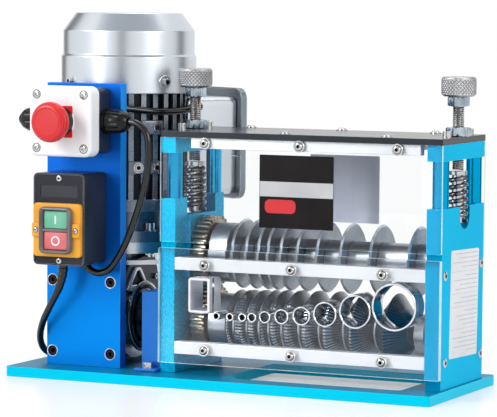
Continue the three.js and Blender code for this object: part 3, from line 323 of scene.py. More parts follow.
def basis(direction):
    """The direction and two lines across it, as vectors."""
    known = {"x": ((1, 0, 0), (0, 1, 0), (0, 0, 1)), "y": ((0, 1, 0), (1, 0, 0), (0, 0, 1)),
             "z": ((0, 0, 1), (1, 0, 0), (0, 1, 0))}
    if isinstance(direction, str):
        ahead, side, up = (Vector(v) for v in known[direction[-1]])
        return ahead * (-1 if direction[0] == "-" else 1), side, up
    side = direction.cross(Vector((0, 0, 1))).normalized()
    return direction, side, direction.cross(side)


def ring(outline, along, direction, middle=(0, 0, 0)):
    """An outline set square to a direction, at a distance along it from the middle, in millimetres."""
    ahead, side, up = basis(direction)
    return [place(*(Vector(middle) + ahead * along + side * u + up * v)) for u, v in outline]


def loft(bm, layers, direction, middle=(0, 0, 0), closed=False, bands=None):
    """Faces from outline to outline, in layers of (place along the direction, outline)."""
    skin(bm, [ring(outline, along, direction, middle) for along, outline in layers], closed, bands)


def lofted(name, layers, direction, materials, slot, middle=(0, 0, 0), closed=False, bands=None, **rest):
    bm = bmesh.new()
    loft(bm, layers, direction, middle, closed, bands)
    return new_piece(name, bm, materials, slot, **rest)


def circle(radius, sides=24):
    return [(radius * cos(2 * pi * k / sides), radius * sin(2 * pi * k / sides)) for k in range(sides)]


def circles(profile, sides=48):
    return [(along, circle(radius, sides)) for along, radius in profile]


def rounded_rectangle(x1, x2, y1, y2, corner, steps=6):
    outline = []
    for cx, cy, first in ((x2 - corner, y2 - corner, 0), (x1 + corner, y2 - corner, 90),
                          (x1 + corner, y1 + corner, 180), (x2 - corner, y1 + corner, 270)):
        for k in range(steps + 1):
            angle = radians(first + 90 * k / steps)
            outline.append((cx + corner * cos(angle), cy + corner * sin(angle)))
    return outline


def pads(rows, steps=6):
    """Rounded rectangles round a middle, from rows of (place along, half width, half height, corner)."""
    return [(along, rounded_rectangle(-wide, wide, -high, high, corner, steps))
            for along, wide, high, corner in rows]


rubber = finish("black rubber", (5, 5, 6), (11, 11, 13), (0.15, 0.2), grain=2600, bump=0.02, specular=0.55)

link_route = smooth_route([
    (-103.2, 24.9, 259.5), (-96.2, 24.9, 258.5), (-89.8, 24.9, 255.2), (-85, 25, 250), (-82.5, 25, 243),
    (-81.6, 25, 231), (-82.6, 25, 213), (-87.3, 25, 191), (-95, 25, 167), (-103.5, 25, 145),
    (-112.8, 25, 127), (-122.8, 24.6, 113.3), (-127.8, 24.2, 109.2), (-134, 23.7, 107.3),
    (-140.5, 23.2, 107.9), (-146.3, 22.8, 110.8), (-150.5, 22.5, 115.7)])
motor_route = smooth_route([
    (-136, 50.3, 272), (-135.7, 55.2, 271.9), (-134, 60.5, 271.6), (-130, 66.5, 270.9), (-122, 75, 269.6),
    (-111, 88, 267.8), (-101.5, 103, 267), (-94.8, 119, 267.5), (-91.2, 132, 268.4), (-88.7, 143.7, 269.6),
    (-88.7, 149.5, 270.2), (-91.1, 154.8, 270.7), (-95.4, 158.75, 271)])
coil_x, coil_y, coil_radius, pitch, turns_each_way = -194, 258, 50, 8.4, 2.75
coil_places = []
for k in range(6 * 48 + 1):
    turn = k / 48
    inward, outward = min(turn, turns_each_way), max(turn - turns_each_way - 0.5, 0)
    radius = coil_radius - pitch * (inward - outward)
    climb = min(max((turn - turns_each_way) / 0.5, 0), 1)
    coil_places.append((coil_x + radius * cos(pi - 2 * pi * turn), coil_y + radius * sin(pi - 2 * pi * turn),
                        3.6 + pitch * climb))
mains_route = smooth_route([
    (-172, 15, 115.7), (-172.2, 15, 109), (-173.8, 15.1, 100), (-178.5, 15.8, 88), (-190, 19.5, 70.5),
    (-202, 26.5, 53), (-211, 37.5, 36.5), (-215, 52, 23.5), (-214.5, 70, 15.8), (-212.5, 95, 13.8),
    (-211, 130, 13.8), (-211, 160, 13.8), (-213, 177, 13.9), (-217, 189, 11), (-224, 201, 7),
    (-232, 212, 4.4), (-239, 223, 3.8), (-243, 235, 3.6), (-244, 246.7, 3.6), (-244, 251, 3.6)])
plug_x, plug_y, plug_z = -244, 272.3, 12
mains_route += [place(*p) for p in coil_places] + [place(plug_x, 265, plug_z), place(plug_x, 272, plug_z)]

link_lead = cable("link_lead_cable", link_route, "link_lead")
motor_lead = cable("motor_lead_cable", motor_route, "motor_lead")
mains_lead = cable("mains_lead_cable", mains_route, "mains_lead", "mains_coil")


def relief(name, route, length, count, wide, narrow, ribs):
    """A tapered sleeve with ribs, over the first length of a route, in metres."""
    points, walked, index = [], 0.0, 0
    for k in range(count):
        goal = length * k / (count - 1)
        while index < len(route) - 2 and walked + (route[index + 1] - route[index]).length < goal:
            walked += (route[index + 1] - route[index]).length
            index += 1
        step = route[index + 1] - route[index]
        points.append(route[index] + step * ((goal - walked) / step.length))
    radii = []
    for k in range(count):
        groove = 0.4 if k % 8 in (5, 6) and k < ribs * 8 else 0
        radii.append((wide + (narrow - wide) * k / (count - 1) - groove) / 1000)
    bm = bmesh.new()
    sweep(bm, points, radii, 20)
    return new_piece(name, bm, rubber, "black_rubber", smooth=40)


mains_sleeve = relief("mains_strain_relief", mains_route, 0.03, 44, 5.2, 3.9, 4)
link_sleeve = relief("link_strain_relief", link_route[::-1], 0.004, 6, 5.2, 4.6, 0)
motor_sleeve = relief("motor_strain_relief", motor_route[::-1], 0.012, 18, 6.0, 4.3, 1)
motor_grommet = relief("column_grommet", motor_route, 0.004, 6, 6.2, 5.0, 0)

# The plug's sleeve tapers towards the cable, its body has finger grooves, and the pins are nickel plated.
nickel = finish("nickel plate", (176, 172, 162), (205, 202, 194), (0.2, 0.34), metallic=1, grain=600,
                cloud=14)
sleeve = [(0, 4.6)]
for k in range(7):
    wide = 4.6 + 1.3 * k / 7
    sleeve += [(2 + 4 * k, wide + 0.5), (4.4 + 4 * k, wide + 0.6), (4.8 + 4 * k, wide - 0.2),
               (5.6 + 4 * k, wide - 0.2)]
bm = bmesh.new()
loft(bm, circles(sleeve, 24), "y", (plug_x, plug_y, plug_z))
loft(bm, pads((
    (28, 9, 8, 6), (30, 12, 10, 6), (34, 13.5, 11, 6), (46, 13.6, 11, 6), (47, 13, 10.4, 6),
    (48.5, 13, 10.4, 6), (49.5, 13.6, 11, 6), (52, 13.6, 11, 6), (53, 13, 10.4, 6), (54.5, 13, 10.4, 6),
    (55.5, 13.6, 11, 6), (61, 13.8, 11, 6), (62, 13.2, 10.4, 6))), "y", (plug_x, plug_y, plug_z))
plug = new_piece("plug", bm, rubber, "black_rubber", smooth=50, replaces="mains_plug")
bm = bmesh.new()
for side in (-6.35, 6.35):
    loft(bm, pads(((61.5, 0.8, 3.2, 0.4), (76.8, 0.8, 3.2, 0.4), (78, 0.8, 2, 0.4)), 2), "y",
         (plug_x + side, plug_y, plug_z + 3))
loft(bm, circles(((61.5, 2.4), (79.2, 2.4), (80.4, 1.9), (81, 1)), 16), "y", (plug_x, plug_y, plug_z - 6))
plug_pins = new_piece("plug_pins", bm, nickel, "black_rubber")

# The tie is a flat strap round all the turns.
strap_out = rounded_rectangle(22.2, 54.6, 0.02, 16.6, 3.2)
strap_in = rounded_rectangle(22.9, 53.9, 0.06, 15.9, 3.0)
coil_tie = lofted("coil_tie", ((-4, strap_in), (-4, strap_out), (4, strap_out), (4, strap_in)), "y", rubber,
                  "black_rubber", (coil_x, coil_y, 0), closed=True)


# Base plate: 10 mm aluminium plate, sawn and milled, anodised cyan, with a long opening under the rollers.
# Its sides are painted lighter and its satin top darker, as painted light and shade.
def finer(solid, materials, slot, edge):
    """The CAD solid with its seams closed, its flat faces whole and its edges broken, in its place."""
    bm = bmesh.new()
    bm.from_mesh(frame["nodes"][solid].data)
    bmesh.ops.remove_doubles(bm, verts=bm.verts, dist=0.000002)
    bmesh.ops.dissolve_limit(bm, angle_limit=radians(0.5), verts=bm.verts, edges=bm.edges)
    for face in bm.faces:
        face.material_index = 0
    return new_piece(solid + "_finished", bm, materials, slot, body_of[solid], edge, replaces=solid)


def repaint(piece, number, chosen):
    """Gives the faces that are chosen another of the piece's materials, by its number."""
    for face in piece.data.polygons:
        if chosen(face):
            face.material_index = number


body_of = {solid: body for body, solids in frame["record"]["behaviour"]["bodies"].items() for solid in solids}
anodised = {"grain": 3000, "cloud": 5, "bump": 0.006}
cyan_tint = (0.12, 0.8, 1)
cyan_rim_painted_lit = finish("cyan anodising rim painted lit", (0, 212, 248), (8, 222, 254), (0.36, 0.42), metallic=0.05,
                  edge=((90, 226, 248), 0.0005), tint=cyan_tint, specular=0.15, **anodised)
cyan_top_painted_shade = finish("cyan anodising top painted shaded", (0, 116, 156), (0, 136, 176), (0.34, 0.4), metallic=0.05, grain=3000,
                  cloud=7, bump=0.006, edge=((40, 190, 226), 0.0005), tint=cyan_tint, specular=0.12)
base = finer("base_plate", [cyan_rim_painted_lit, cyan_top_painted_shade], "cyan_anodised", 0.7)
# The top takes the darker copy, as painted shade.
repaint(base, 1, lambda face: face.normal.z > 0.9)


# Columns: milled aluminium blocks, anodised with the base. Two round pillars join the upper block to the
# lower one, and a slot lets the spring show.
cyan_upright = finish("cyan anodising upright", (0, 160, 206), (0, 180, 224), (0.25, 0.29), metallic=0.5,
                      grain=3000, stretch=(1, 1, 0.1), cloud=5, bump=0.012, edge=((80, 226, 250), 0.0005),
                      tint=cyan_tint, specular=0.2)
cyan_pillar = finish("cyan anodising pillar", (0, 150, 200), (0, 176, 226), (0.1, 0.16), metallic=0.9,
                     stretch=(1, 1, 0.1), tint=(0.3, 0.9, 1), specular=0.3, **anodised)
# The right column has a darker copy of the anodising on its front and a lighter one on its +X side: painted
# shade and painted light.
cyan_front_painted_shade = finish("cyan anodising front painted shaded", (0, 144, 190), (0, 156, 202), (0.3, 0.36), metallic=0.35,
                    edge=((60, 214, 244), 0.0005), tint=(0, 0.7, 1), specular=0.03, **anodised)
cyan_side_painted_light = finish("cyan anodising side painted lit", (0, 192, 236), (0, 204, 246), (0.3, 0.36), metallic=0.35,
                   edge=((110, 232, 250), 0.0005), tint=(0, 0.7, 1), specular=0.03, **anodised)
left_column = finer("left_column", [cyan_upright, cyan_pillar], "cyan_anodised", 0.5)
right_column = finer("right_column", [cyan_front_painted_shade, cyan_side_painted_light, cyan_pillar], "cyan_anodised", 0.5)
repaint(right_column, 1, lambda face: face.normal.x > 0.9)
for upright, pillar in ((left_column, 1), (right_column, 2)):
    repaint(upright, pillar, lambda face: 0.188 < face.center.z < 0.231 and abs(face.normal.z) < 0.1)


# Screws: button heads and cap screws with a hexagon socket, cold-headed in steel and plated or blackened.
# They stand on plain washers, or straight on the piece that they hold.
def hexagon(half_flats, sides=24, limit=9999):
    """A hexagon by half its width over the flats, with its corners cut to a limit."""
    outline = []
    for u, v in circle(1, sides):
        radius = min(half_flats / cos((atan2(v, u) + pi / 6) % (pi / 3) - pi / 6), limit)
        outline.append((radius * u, radius * v))
    return outline


def cross(reach, half_width):
    """A Phillips recess seen from above."""
    outline = []
    for u, v in circle(1):
        long, short = max(abs(u), abs(v)), min(abs(u), abs(v))
        length = min(reach / long, half_width * 1.5 / max(short, 0.0001), reach)
        outline.append((length * u, length * v))
    return outline


def scaled(outline, share, middle=(0, 0)):
    return [(middle[0] + (u - middle[0]) * share, middle[1] + (v - middle[1]) * share) for u, v in outline]


def head(bm, middle, direction, profile, recess, floor, recess_floor=None):
    """A turned head with a recess in its top, sunk to the floor. The floor's outline can be its own."""
    layers = circles(profile, 24) + [(profile[-1][0], recess), (floor, recess_floor or recess)]
    loft(bm, layers, direction, middle, bands=[0] * len(profile) + [1])


def washer_ring(bm, middle, direction, washer, hole):
    """A flat washer with a gap left round the head in it, painted dark as shade. The head stands 0.3 mm up.
    """
    if washer:
        loft(bm, circles(((0, washer), (0.8, washer), (1, washer - 0.2), (1, hole), (0.25, hole),
                          (0.25, hole * 0.5)), 24), direction, middle, bands=[0, 0, 0, 1, 1])
    return 0.3 if washer else 0


def button_screw(bm, middle, direction, radius=4.1, height=2.8, washer=5.8):
    foot = washer_ring(bm, middle, direction, washer, radius + 0.45)
    profile = [(foot + height * rise, radius * share) for rise, share in (
        (0, 0.97), (0.45, 1), (0.75, 0.9), (0.94, 0.74), (1, 0.62))]
    head(bm, middle, direction, profile, hexagon(radius * 0.44), foot + height * 0.3)


def cap_screw(bm, middle, direction, radius=4.2, height=5.0, washer=0.0):
    foot = washer_ring(bm, middle, direction, washer, radius + 0.4)
    top = foot + height
    profile = [(foot, radius), (top - 0.5, radius), (top, radius - 0.5), (top, radius * 0.7)]
    head(bm, middle, direction, profile, hexagon(radius * 0.54), foot + height * 0.4)


def phillips_screw(bm, middle, direction, radius=3.4, height=1.5):
    recess = cross(radius * 0.55, radius * 0.13)
    head(bm, middle, direction, [(-1, radius), (height * 0.35, radius), (height * 0.8, radius * 0.8),
                                 (height, radius * 0.62)], recess, -0.6, scaled(recess, 0.6))


def hex_bolt(bm, middle, direction, half_flats=5.0, height=4.2, washer=6.4):
    loft(bm, circles(((0, washer), (1, washer), (1.2, washer - 0.2), (1.2, half_flats * 0.6)), 24), direction,
         middle)
    loft(bm, [(along, hexagon(half_flats, 24, limit)) for along, limit in (
        (1.2, 99), (0.7 + height, 99), (1.2 + height, half_flats * 1.02), (1.2 + height, half_flats * 0.9))],
        direction, middle)


plated = finish("bright zinc plate", (182, 182, 180), (216, 217, 217), (0.12, 0.24), metallic=1, cloud=60,
                bump=0.03, edge=((250, 250, 250), 0.0004))
# Painted shade: this dark colour fills screw sockets, the gaps round heads and other recesses.
recess_shade = finish("painted recess shade", (26, 18, 14), (62, 44, 32), (0.4, 0.6), metallic=0.5, cloud=200,
                     specular=0.2)
blackened = finish("blackened steel", (16, 16, 18), (40, 39, 40), (0.3, 0.45), metallic=0.6, cloud=60,
                   bump=0.08, edge=((96, 96, 98), 0.0004), specular=0.3)


def screws(name, kind, places, direction, material=plated, slot="bright_steel", **sizes):
    bm = bmesh.new()
    for middle in places:
        kind(bm, middle, direction, **sizes)
    return new_piece(name, bm, [material, recess_shade], slot, smooth=40)


frame_left, frame_right = -73, 227
for name, x, direction in (("right_column_screws", frame_right, "x"),
                           ("left_column_screws", frame_left, "-x")):
    screws(name, button_screw, [(x, 45, 120), (x, 141.5, 125), (x, 46.8, 36.3), (x, 141.7, 35.5)], direction,
           radius=4.6, height=1.3, washer=0)


# Label on the right column: a bare white paper sticker with rounded corners and thin printed rules,
# stuck on a little crooked.
def tilted(outline, middle=(96.5, 89.5), turn=radians(-1.9)):
    return [(middle[0] + (y - middle[0]) * cos(turn) - (z - middle[1]) * sin(turn),
             middle[1] + (y - middle[0]) * sin(turn) + (z - middle[1]) * cos(turn)) for y, z in outline]


paper = finish("label paper", (232, 233, 236), (243, 244, 246), (0.4, 0.55), grain=1500, cloud=20)
rule_grey = finish("printed rule", (178, 180, 186), (194, 196, 202), (0.45, 0.6), grain=1500, cloud=90)
sheet = tilted(rounded_rectangle(59.3, 134, 37.4, 141.8, 2.2))
lofted("column_label", ((0, sheet), (0.14, sheet)), "x", paper, "white_plastic", (frame_right, 0, 0),
       smooth=30)
bm = bmesh.new()
rule_end, full_rule, first_rule, line_height = 131.4, 70, 138.2, 4.3
for k, share in enumerate((0.9, 0.75, 0.96, 0.6, 0, 0.5, 0.92, 0.7, 0.86, 0, 0.64, 0.9, 0, 0.5, 0.82, 0.7,
                           0.55, 0, 0.6, 0.95, 0.72, 0.9, 0.4)):
    z, width = first_rule - line_height * k, 68 * share if share else full_rule
    half_line = 0.26 if share else 0.14
    line = tilted(rounded_rectangle(rule_end - width, rule_end, z - half_line, z + half_line, 0.1, 1))
    loft(bm, ((0.1, line), (0.19, line)), "x", (frame_right, 0, 0))
new_piece("column_label_rules", bm, rule_grey, "white_plastic")


# Top plate: 6 mm aluminium plate, milled and anodised black. Button screws hold it to the top bars and
# cap screws to the columns.
black_plate = finish("black anodising", (30, 33, 40), (48, 52, 60), (0.16, 0.28), metallic=0.5, grain=2200,
                     stretch=(0.15, 1, 1), cloud=8, bump=0.03, edge=((104, 108, 120), 0.0006))
finer("top_plate", black_plate, "black_anodised", 0.5)
plate_top = 251.2
plate_spots = ((58.7, 43.5), (166.3, 42.5), (-24.3, 142), (76.5, 142), (177.1, 142.5))
screws("top_plate_screws", button_screw, [(x, y, plate_top) for x, y in plate_spots], "z", radius=4.2,
       height=2.4, washer=5.6)
left_screw_x, right_screw_x = -65, 219
screws("column_cap_screws", cap_screw,
       [(x, y, plate_top) for x in (left_screw_x, right_screw_x) for y in (66, 126)],
       "z", radius=4.3, height=6.6)


# Cross bars: milled flat aluminium bar, left bare, with a fine grain along it. They are bolted between
# the columns, front and rear, and carry the windows.
bare = finish("bare aluminium", (198, 200, 205), (214, 216, 221), (0.34, 0.4), metallic=0.35, grain=3000,
              stretch=(0.05, 1, 1), cloud=7, bump=0.03, edge=((255, 255, 255), 0.0005))
for height in ("top", "middle", "bottom"):
    for side in ("front", "rear"):
        finer("%s_%s_bar" % (height, side), bare, "bare_aluminium", 0.35)


# Windows: clear acrylic sheet with polished edges, which lets the lamps through, so that what it covers is
# lit. Screws with washers hold it to the bars.
clear, tree = new_material("clear acrylic")
clear_tint = (0.99, 0.997, 1, 1)
waves = node(tree, "Group", {"Grain Scale": 25}, node_tree=surface_grain)
wavy = node(tree, "Bump", {"Strength": 0.02, "Distance": 0.0004, "Height": waves.outputs["Grain"]})
glass = node(tree, "BsdfPrincipled", {
    "Base Color": clear_tint, "Transmission Weight": 1, "Roughness": 0, "IOR": 1.49,
    "Specular Tint": (0.4, 0.4, 0.4, 1), "Normal": wavy.outputs[0]})
open_air = node(tree, "BsdfTransparent", {"Color": clear_tint})
choice = node(tree, "MixShader", {
    "Fac": node(tree, "LightPath").outputs["Is Shadow Ray"], 1: glass.outputs[0], 2: open_air.outputs[0]})
node(tree, "OutputMaterial", {"Surface": choice.outputs[0]})
# The sheet's cut edges take a pale opaque tint: partly the frost of a sawn edge, partly a painted highlight.
sawn = finish("sawn acrylic edge", (206, 226, 232), (228, 242, 246), (0.2, 0.35), stretch=(1, 1, 0.2),
              cloud=40)
window_front, window_back, lower_front, bar_back, upper_x = 34, 151, 30.8, 148, (-24, 78, 181)
rim_low, rim_high = place(frame_left + 0.6, 0, 0).x, place(frame_right - 0.6, 0, 0).x
for window in ("upper_front_window", "lower_front_window", "upper_rear_window"):
    pane = finer(window, [clear, sawn], "clear_sheet", 0.3)
    repaint(pane, 1, lambda face: abs(face.normal.z) > 0.9 and face.area > 0.0003)
    repaint(pane, 1, lambda face: not rim_low <= face.center.x <= rim_high and abs(face.normal.x) > 0.9)
screws("upper_window_screws", button_screw, [(x, window_front, 240) for x in upper_x], "-y")
for name, z in (("middle_window_screws", 119.5), ("lower_window_screws", 35)):
    screws(name, button_screw, [(x, lower_front, z) for x in (-22, 72, 168)], "-y")
screws("rear_window_screws", button_screw, [(x, window_back, z) for x in upper_x for z in (240, 125)], "y")
screws("rear_bar_screws", button_screw, [(x, bar_back, 35.5) for x in (-40, 194)], "y", washer=0)


# Labels of the windows: a black one in front with a grey band and a red bar, both bare, and a sticker on
# the rear window, whose grey back shows through.
label_black = finish("label black", (14, 10, 11), (24, 20, 21), (0.3, 0.42), bump=0.02, specular=0.15)
label_grey = finish("label grey", (186, 187, 190), (204, 205, 208), (0.35, 0.48), grain=1500, bump=0.04)
label_red = finish("label red", (206, 26, 34), (226, 40, 48), (0.3, 0.42), grain=1500, bump=0.04)
lilac = finish("sticker back", (214, 218, 238), (228, 231, 248), (0.5, 0.65), cloud=20, bump=0.03)
for name, outline, first, last, material, slot in (
    ("front_label", rounded_rectangle(36, 115, 159.5, 231, 0.8), window_front - 0.02, window_front - 0.16,
     label_black, "black_plastic"),
    ("front_label_band", rounded_rectangle(36.4, 114.6, 190.3, 205, 0.3), window_front - 0.1,
     window_front - 0.2, label_grey, "white_plastic"),
    ("front_label_bar", rounded_rectangle(42, 75, 174.1, 187.5, 5), window_front - 0.1, window_front - 0.22,
     label_red, "red_plastic"),
    ("rear_label", rounded_rectangle(39, 115, 158, 226, 0.8), window_back + 0.02, window_back + 0.16,
     lilac, "white_plastic"),
):
    lofted(name, ((first, outline), (last, outline)), "y", material, slot, smooth=30)


# Guides: short steel tubes, turned and plated, pushed through the lower window so that each wire meets
# its groove. A pressed rectangular one on the left takes flat cable.
chrome = finish("bright guide steel", (205, 209, 214), (232, 235, 238), (0.05, 0.12), metallic=1, cloud=40,
                bump=0.01, edge=((255, 255, 255), 0.0004))
inner_left, inner_width, largest_guide = -57, 268, 46
places_across = [0.187, 0.243, 0.293, 0.332, 0.384, 0.451, 0.53, 0.623, 0.741, 0.892]
size_shares = [0.174, 0.174, 0.185, 0.207, 0.261, 0.326, 0.402, 0.533, 0.717, 1]
guide_sizes = [largest_guide * share for share in size_shares]
channel_x = [inner_left + inner_width * share for share in places_across]
for k, (x, size) in enumerate(zip(channel_x, guide_sizes)):
    outer = size / 2
    inner = outer - 1.4 - 0.6 * size / largest_guide
    lofted("guide_tube_%d_turned" % (k + 1), circles((
        (26.6, outer - 0.25), (26.85, outer), (50.3, outer), (50.6, outer - 0.3), (50.6, inner + 0.2),
        (50.4, inner), (27.4, inner), (26.8, inner + 0.25), (26.6, inner + 0.45)), 56), "y", chrome,
        "bright_steel", (x, 0, 66.5 + outer), closed=True, replaces="guide_tube_%d" % (k + 1))
pressed = finish("pressed guide steel", (222, 224, 236), (238, 240, 248), (0.24, 0.34), metallic=0.5,
                 cloud=40, bump=0.02, edge=((255, 255, 255), 0.0005))
flat_layers = pads([(y, 11.7 - inset, 17.35 - inset, max(2.6 - inset, 0.8)) for y, inset in (
    (24.8, 2.4), (24.8, 0.4), (25.2, 0), (52.8, 0), (52.8, 2.4), (25.6, 2.4))], 5)
lofted("flat_cable_guide_pressed", flat_layers, "y", pressed, "bright_steel", (-24.8, 0, 90.15), closed=True,
       replaces="flat_cable_guide")


# Feed shaft: ground steel shaft with the grooved rollers, whose flanks are knurled so that they grip the
# wire, a plain roller for flat cable and the driving gear. It runs from the gearbox to the right column.
def overlay(material, colour, share):
    """Lays a colour over a finish, by a share that a socket gives."""
    tree = material.node_tree
    shader = next(made for made in tree.nodes if made.type == "BSDF_PRINCIPLED")
    beneath = shader.inputs["Base Color"].links[0].from_socket
    tree.links.new(mixed(tree, share, beneath, srgb(*colour)), shader.inputs["Base Color"])


shaft_y, lower_z, upper_z, cuts_round, bore_radius = 96, 57.5, 127.5, 66, 10.2
ground = finish("ground steel", (150, 157, 166), (178, 184, 192), (0.32, 0.38), metallic=0.9, grain=1400,
                stretch=(1, 0.1, 0.1), cloud=24, bump=0.02, edge=((236, 240, 244), 0.0005))
knurled = finish("knurled steel", (142, 148, 156), (186, 192, 198), (0.12, 0.22), metallic=1, grain=2600,
                 cloud=40, bump=0.03, edge=((240, 243, 246), 0.0005))

# The knurled faces have a painted dark line, as shade, at the foot of each of the ridges that run out from
# the axis.
tree, axis = knurled.node_tree, place(0, shaft_y, lower_z)
apart = node(tree, "SeparateXYZ", {0: node(tree, "TexCoord").outputs["Object"]}).outputs
turn = calculated(tree, "ARCTAN2", calculated(tree, "SUBTRACT", apart["Z"], axis.z),
                  calculated(tree, "SUBTRACT", apart["Y"], axis.y))
wave = calculated(tree, "COSINE", calculated(tree, "MULTIPLY", turn, cuts_round))
overlay(knurled, (58, 62, 70), calculated(tree, "MULTIPLY_ADD", wave, 1.6, -0.35, clamp=True))
lofted("lower_shaft_ground",
       circles(((-146, 9), (-145, 10), (-30, 10), (194, 10), (220.9, 10), (221.7, 9.2))), "x", ground,
       "ground_steel", (0, shaft_y, lower_z), body="feed_shaft", replaces="lower_shaft")

first_rim, last_rim, last_groove = 33, 38, len(channel_x) - 1
profile = [(-35, bore_radius, 0), (-35, 28.2, 0), (-34.4, 28.8, 0), (-15.6, 28.8, 0), (-15, 28.2, 0),
           (-15, 24, 0), (-12.4, 24, 0), (-12.4, 32.5, 0), (-11.9, 33, 0.4)]
for k, (x, size) in enumerate(zip(channel_x, guide_sizes)):
    rim, side = first_rim + (last_rim - first_rim) * k / last_groove, size / 2 + 0.4
    floor = max(rim - side * 1.15, 12)
    flank = (rim - floor) / 1.15
    falling = [(side + 0.1, rim, 0.4), (side - 0.15, rim - 0.3, 0.5), (side - flank + 0.7, floor, 0.5),
               (side - flank + 0.69, floor, 0)]
    profile += [(x - along, radius, depth) for along, radius, depth in falling]
    if k < last_groove:
        profile += [(x + along, radius, depth) for along, radius, depth in reversed(falling)]
profile += [(183, 12, 0), (183, 18.4, 0), (183.6, 19, 0), (193.4, 19, 0), (194, 18.4, 0),
            (194, bore_radius, 0)]
layers = []
for along, radius, depth in profile:
    layers.append((along, [(u * (radius - depth * (s % 4 == 0)), v * (radius - depth * (s % 4 == 0)))
                           for s, (u, v) in enumerate(circle(1, cuts_round * 4))]))
lofted("feed_rollers_knurled", layers, "x", [ground, knurled], "ground_steel", (0, shaft_y, lower_z),
       closed=True, bands=[1 if depth else 0 for _, _, depth in profile], body="feed_shaft", smooth=28,
       replaces="feed_rollers")


teeth = 35


def spur_gear(name, solid, middle_z, turn, body):
    """A spur gear of module 2 with rounded flanks, chamfered on both faces, on a raised hub."""
    outline, bore = [], []
    flank = ((-0.5, 32.4), (-0.34, 32.6), (-0.28, 33.6), (-0.23, 35), (-0.15, 36.4), (-0.1, 36.9),
             (0.1, 36.9), (0.15, 36.4), (0.23, 35), (0.28, 33.6), (0.34, 32.6))
    for tooth in range(teeth):
        for share, radius in flank:
            angle = turn + 2 * pi * (tooth + share) / teeth
            outline.append((radius * cos(angle), radius * sin(angle)))
            bore.append((bore_radius * cos(angle), bore_radius * sin(angle)))
    hub, hub_foot, chamfered = scaled(bore, 1.75), scaled(bore, 1.82), scaled(outline, 0.985)
    layers = ((-52, bore), (-52, hub), (-51.5, hub_foot), (-51.5, chamfered), (-51, outline), (-38, outline),
              (-37.5, chamfered), (-37.5, hub_foot), (-37, hub), (-37, bore))
    lofted(name, layers, "x", gear_steel, "gear_steel", (0, shaft_y, middle_z), closed=True, body=body,
           smooth=25, replaces=solid)


gear_steel = finish("hobbed gear steel", (140, 126, 110), (186, 174, 158), (0.2, 0.34), metallic=1,
                    grain=2200, cloud=60, bump=0.06, edge=((240, 234, 224), 0.0005))
spur_gear("lower_gear_cut", "lower_gear", lower_z, pi / 2, "feed_shaft")


# Blade shaft: thin hardened disc blades on ground sleeves, over the grooves, with a plain roller on the
# left. The driven gear turns it, and it runs in the two sliding bearing blocks.
lofted("upper_shaft_ground", circles(((-66.7, 9.3), (-66, 10), (220, 10), (220.7, 9.3))), "x", ground,
       "ground_steel", (0, shaft_y, upper_z), body="blade_shaft", replaces="upper_shaft")
polished = finish("hardened blade steel", (116, 125, 136), (148, 156, 166), (0.2, 0.28), metallic=0.9,
                  grain=2600, bump=0.02)
honed = finish("honed blade edge", (196, 202, 209), (222, 227, 232), (0.16, 0.24), metallic=0.6, grain=2600,
               bump=0.02)
profile = [(-35, bore_radius), (-35, 29.1), (-34.3, 29.8), (-15.7, 29.8), (-15, 29.1), (-15, 16.8),
           (-14.4, 17.4)]
bands = [0] * len(profile)
for x in channel_x:
    profile += [(x - 2.1, 17.4), (x - 1.5, 16.8), (x - 1.5, 33), (x, 35), (x + 1.5, 33), (x + 1.5, 16.8),
                (x + 2.1, 17.4)]
    bands += [0, 1, 2, 2, 1, 0, 0]
profile += [(207, 17.4), (207.7, 16.7), (207.7, bore_radius)]
lofted("blade_stack_ground", circles(profile, 96), "x", [ground, polished, honed], "ground_steel",
       (0, shaft_y, upper_z), closed=True, bands=bands + [0, 0, 0], body="blade_shaft", smooth=28,
       replaces="blade_stack")
spur_gear("upper_gear_cut", "upper_gear", upper_z, -pi / 2 + pi / teeth, "blade_shaft")


# Bearing blocks: aluminium blocks, anodised with the columns, that slide up and down in their pockets.
# Each has a steel ball bearing pressed in for the blade shaft.
bearing_steel = finish("bearing steel", (150, 152, 156), (186, 188, 192), (0.16, 0.28), metallic=1, grain=700,
                       cloud=50, bump=0.03)
for side, face_x, direction in (("left", -54, "x"), ("right", 208, "-x")):
    finer(side + "_bearing_block", cyan_upright, "cyan_anodised", 0.5)
    lofted(side + "_bearing_race", circles((
        (0, 10.6), (0.2, 12.6), (0.2, 12.8), (0, 13), (0, 17.6), (0.2, 17.9), (0.25, 20.6), (0, 21))),
        direction, bearing_steel, "bright_steel", (face_x, shaft_y, upper_z), closed=True, body="carriage")


# Height adjusters: a spring of round wire presses each bearing block, and a screw with a knurled knob and
# a jam nut runs down through a nut on the top plate. The left spring is the thicker one.
def threaded(bm, middle, low, high, radius, depth=0.8, lead=1.9, sides=28):
    """A screw thread: rings that climb by one lead per turn. The last turn runs out."""
    loops = []
    for k in range(int((high - low) / lead * 4) + 1):
        loop = []
        for s in range(sides + 1):
            z = low + lead * (k / 4 + s / sides)
            fade = min(1, max(0, (high - z) / lead))
            r = radius - depth * (0.5 - 0.5 * cos(2 * pi * k / 4)) * fade
            angle = 2 * pi * s / sides
            loop.append(bm.verts.new(place(middle + r * cos(angle), shaft_y + r * sin(angle), min(z, high))))
        loops.append(loop)
    for k, (below, above) in enumerate(zip(loops, loops[1:])):
        for s in range(sides):
            face = bm.faces.new((below[s], below[s + 1], above[s + 1], above[s]))
            # One band of each turn, in the thread's groove, is painted darker as shade.
            face.material_index = 1 if k % 4 == 1 else 0


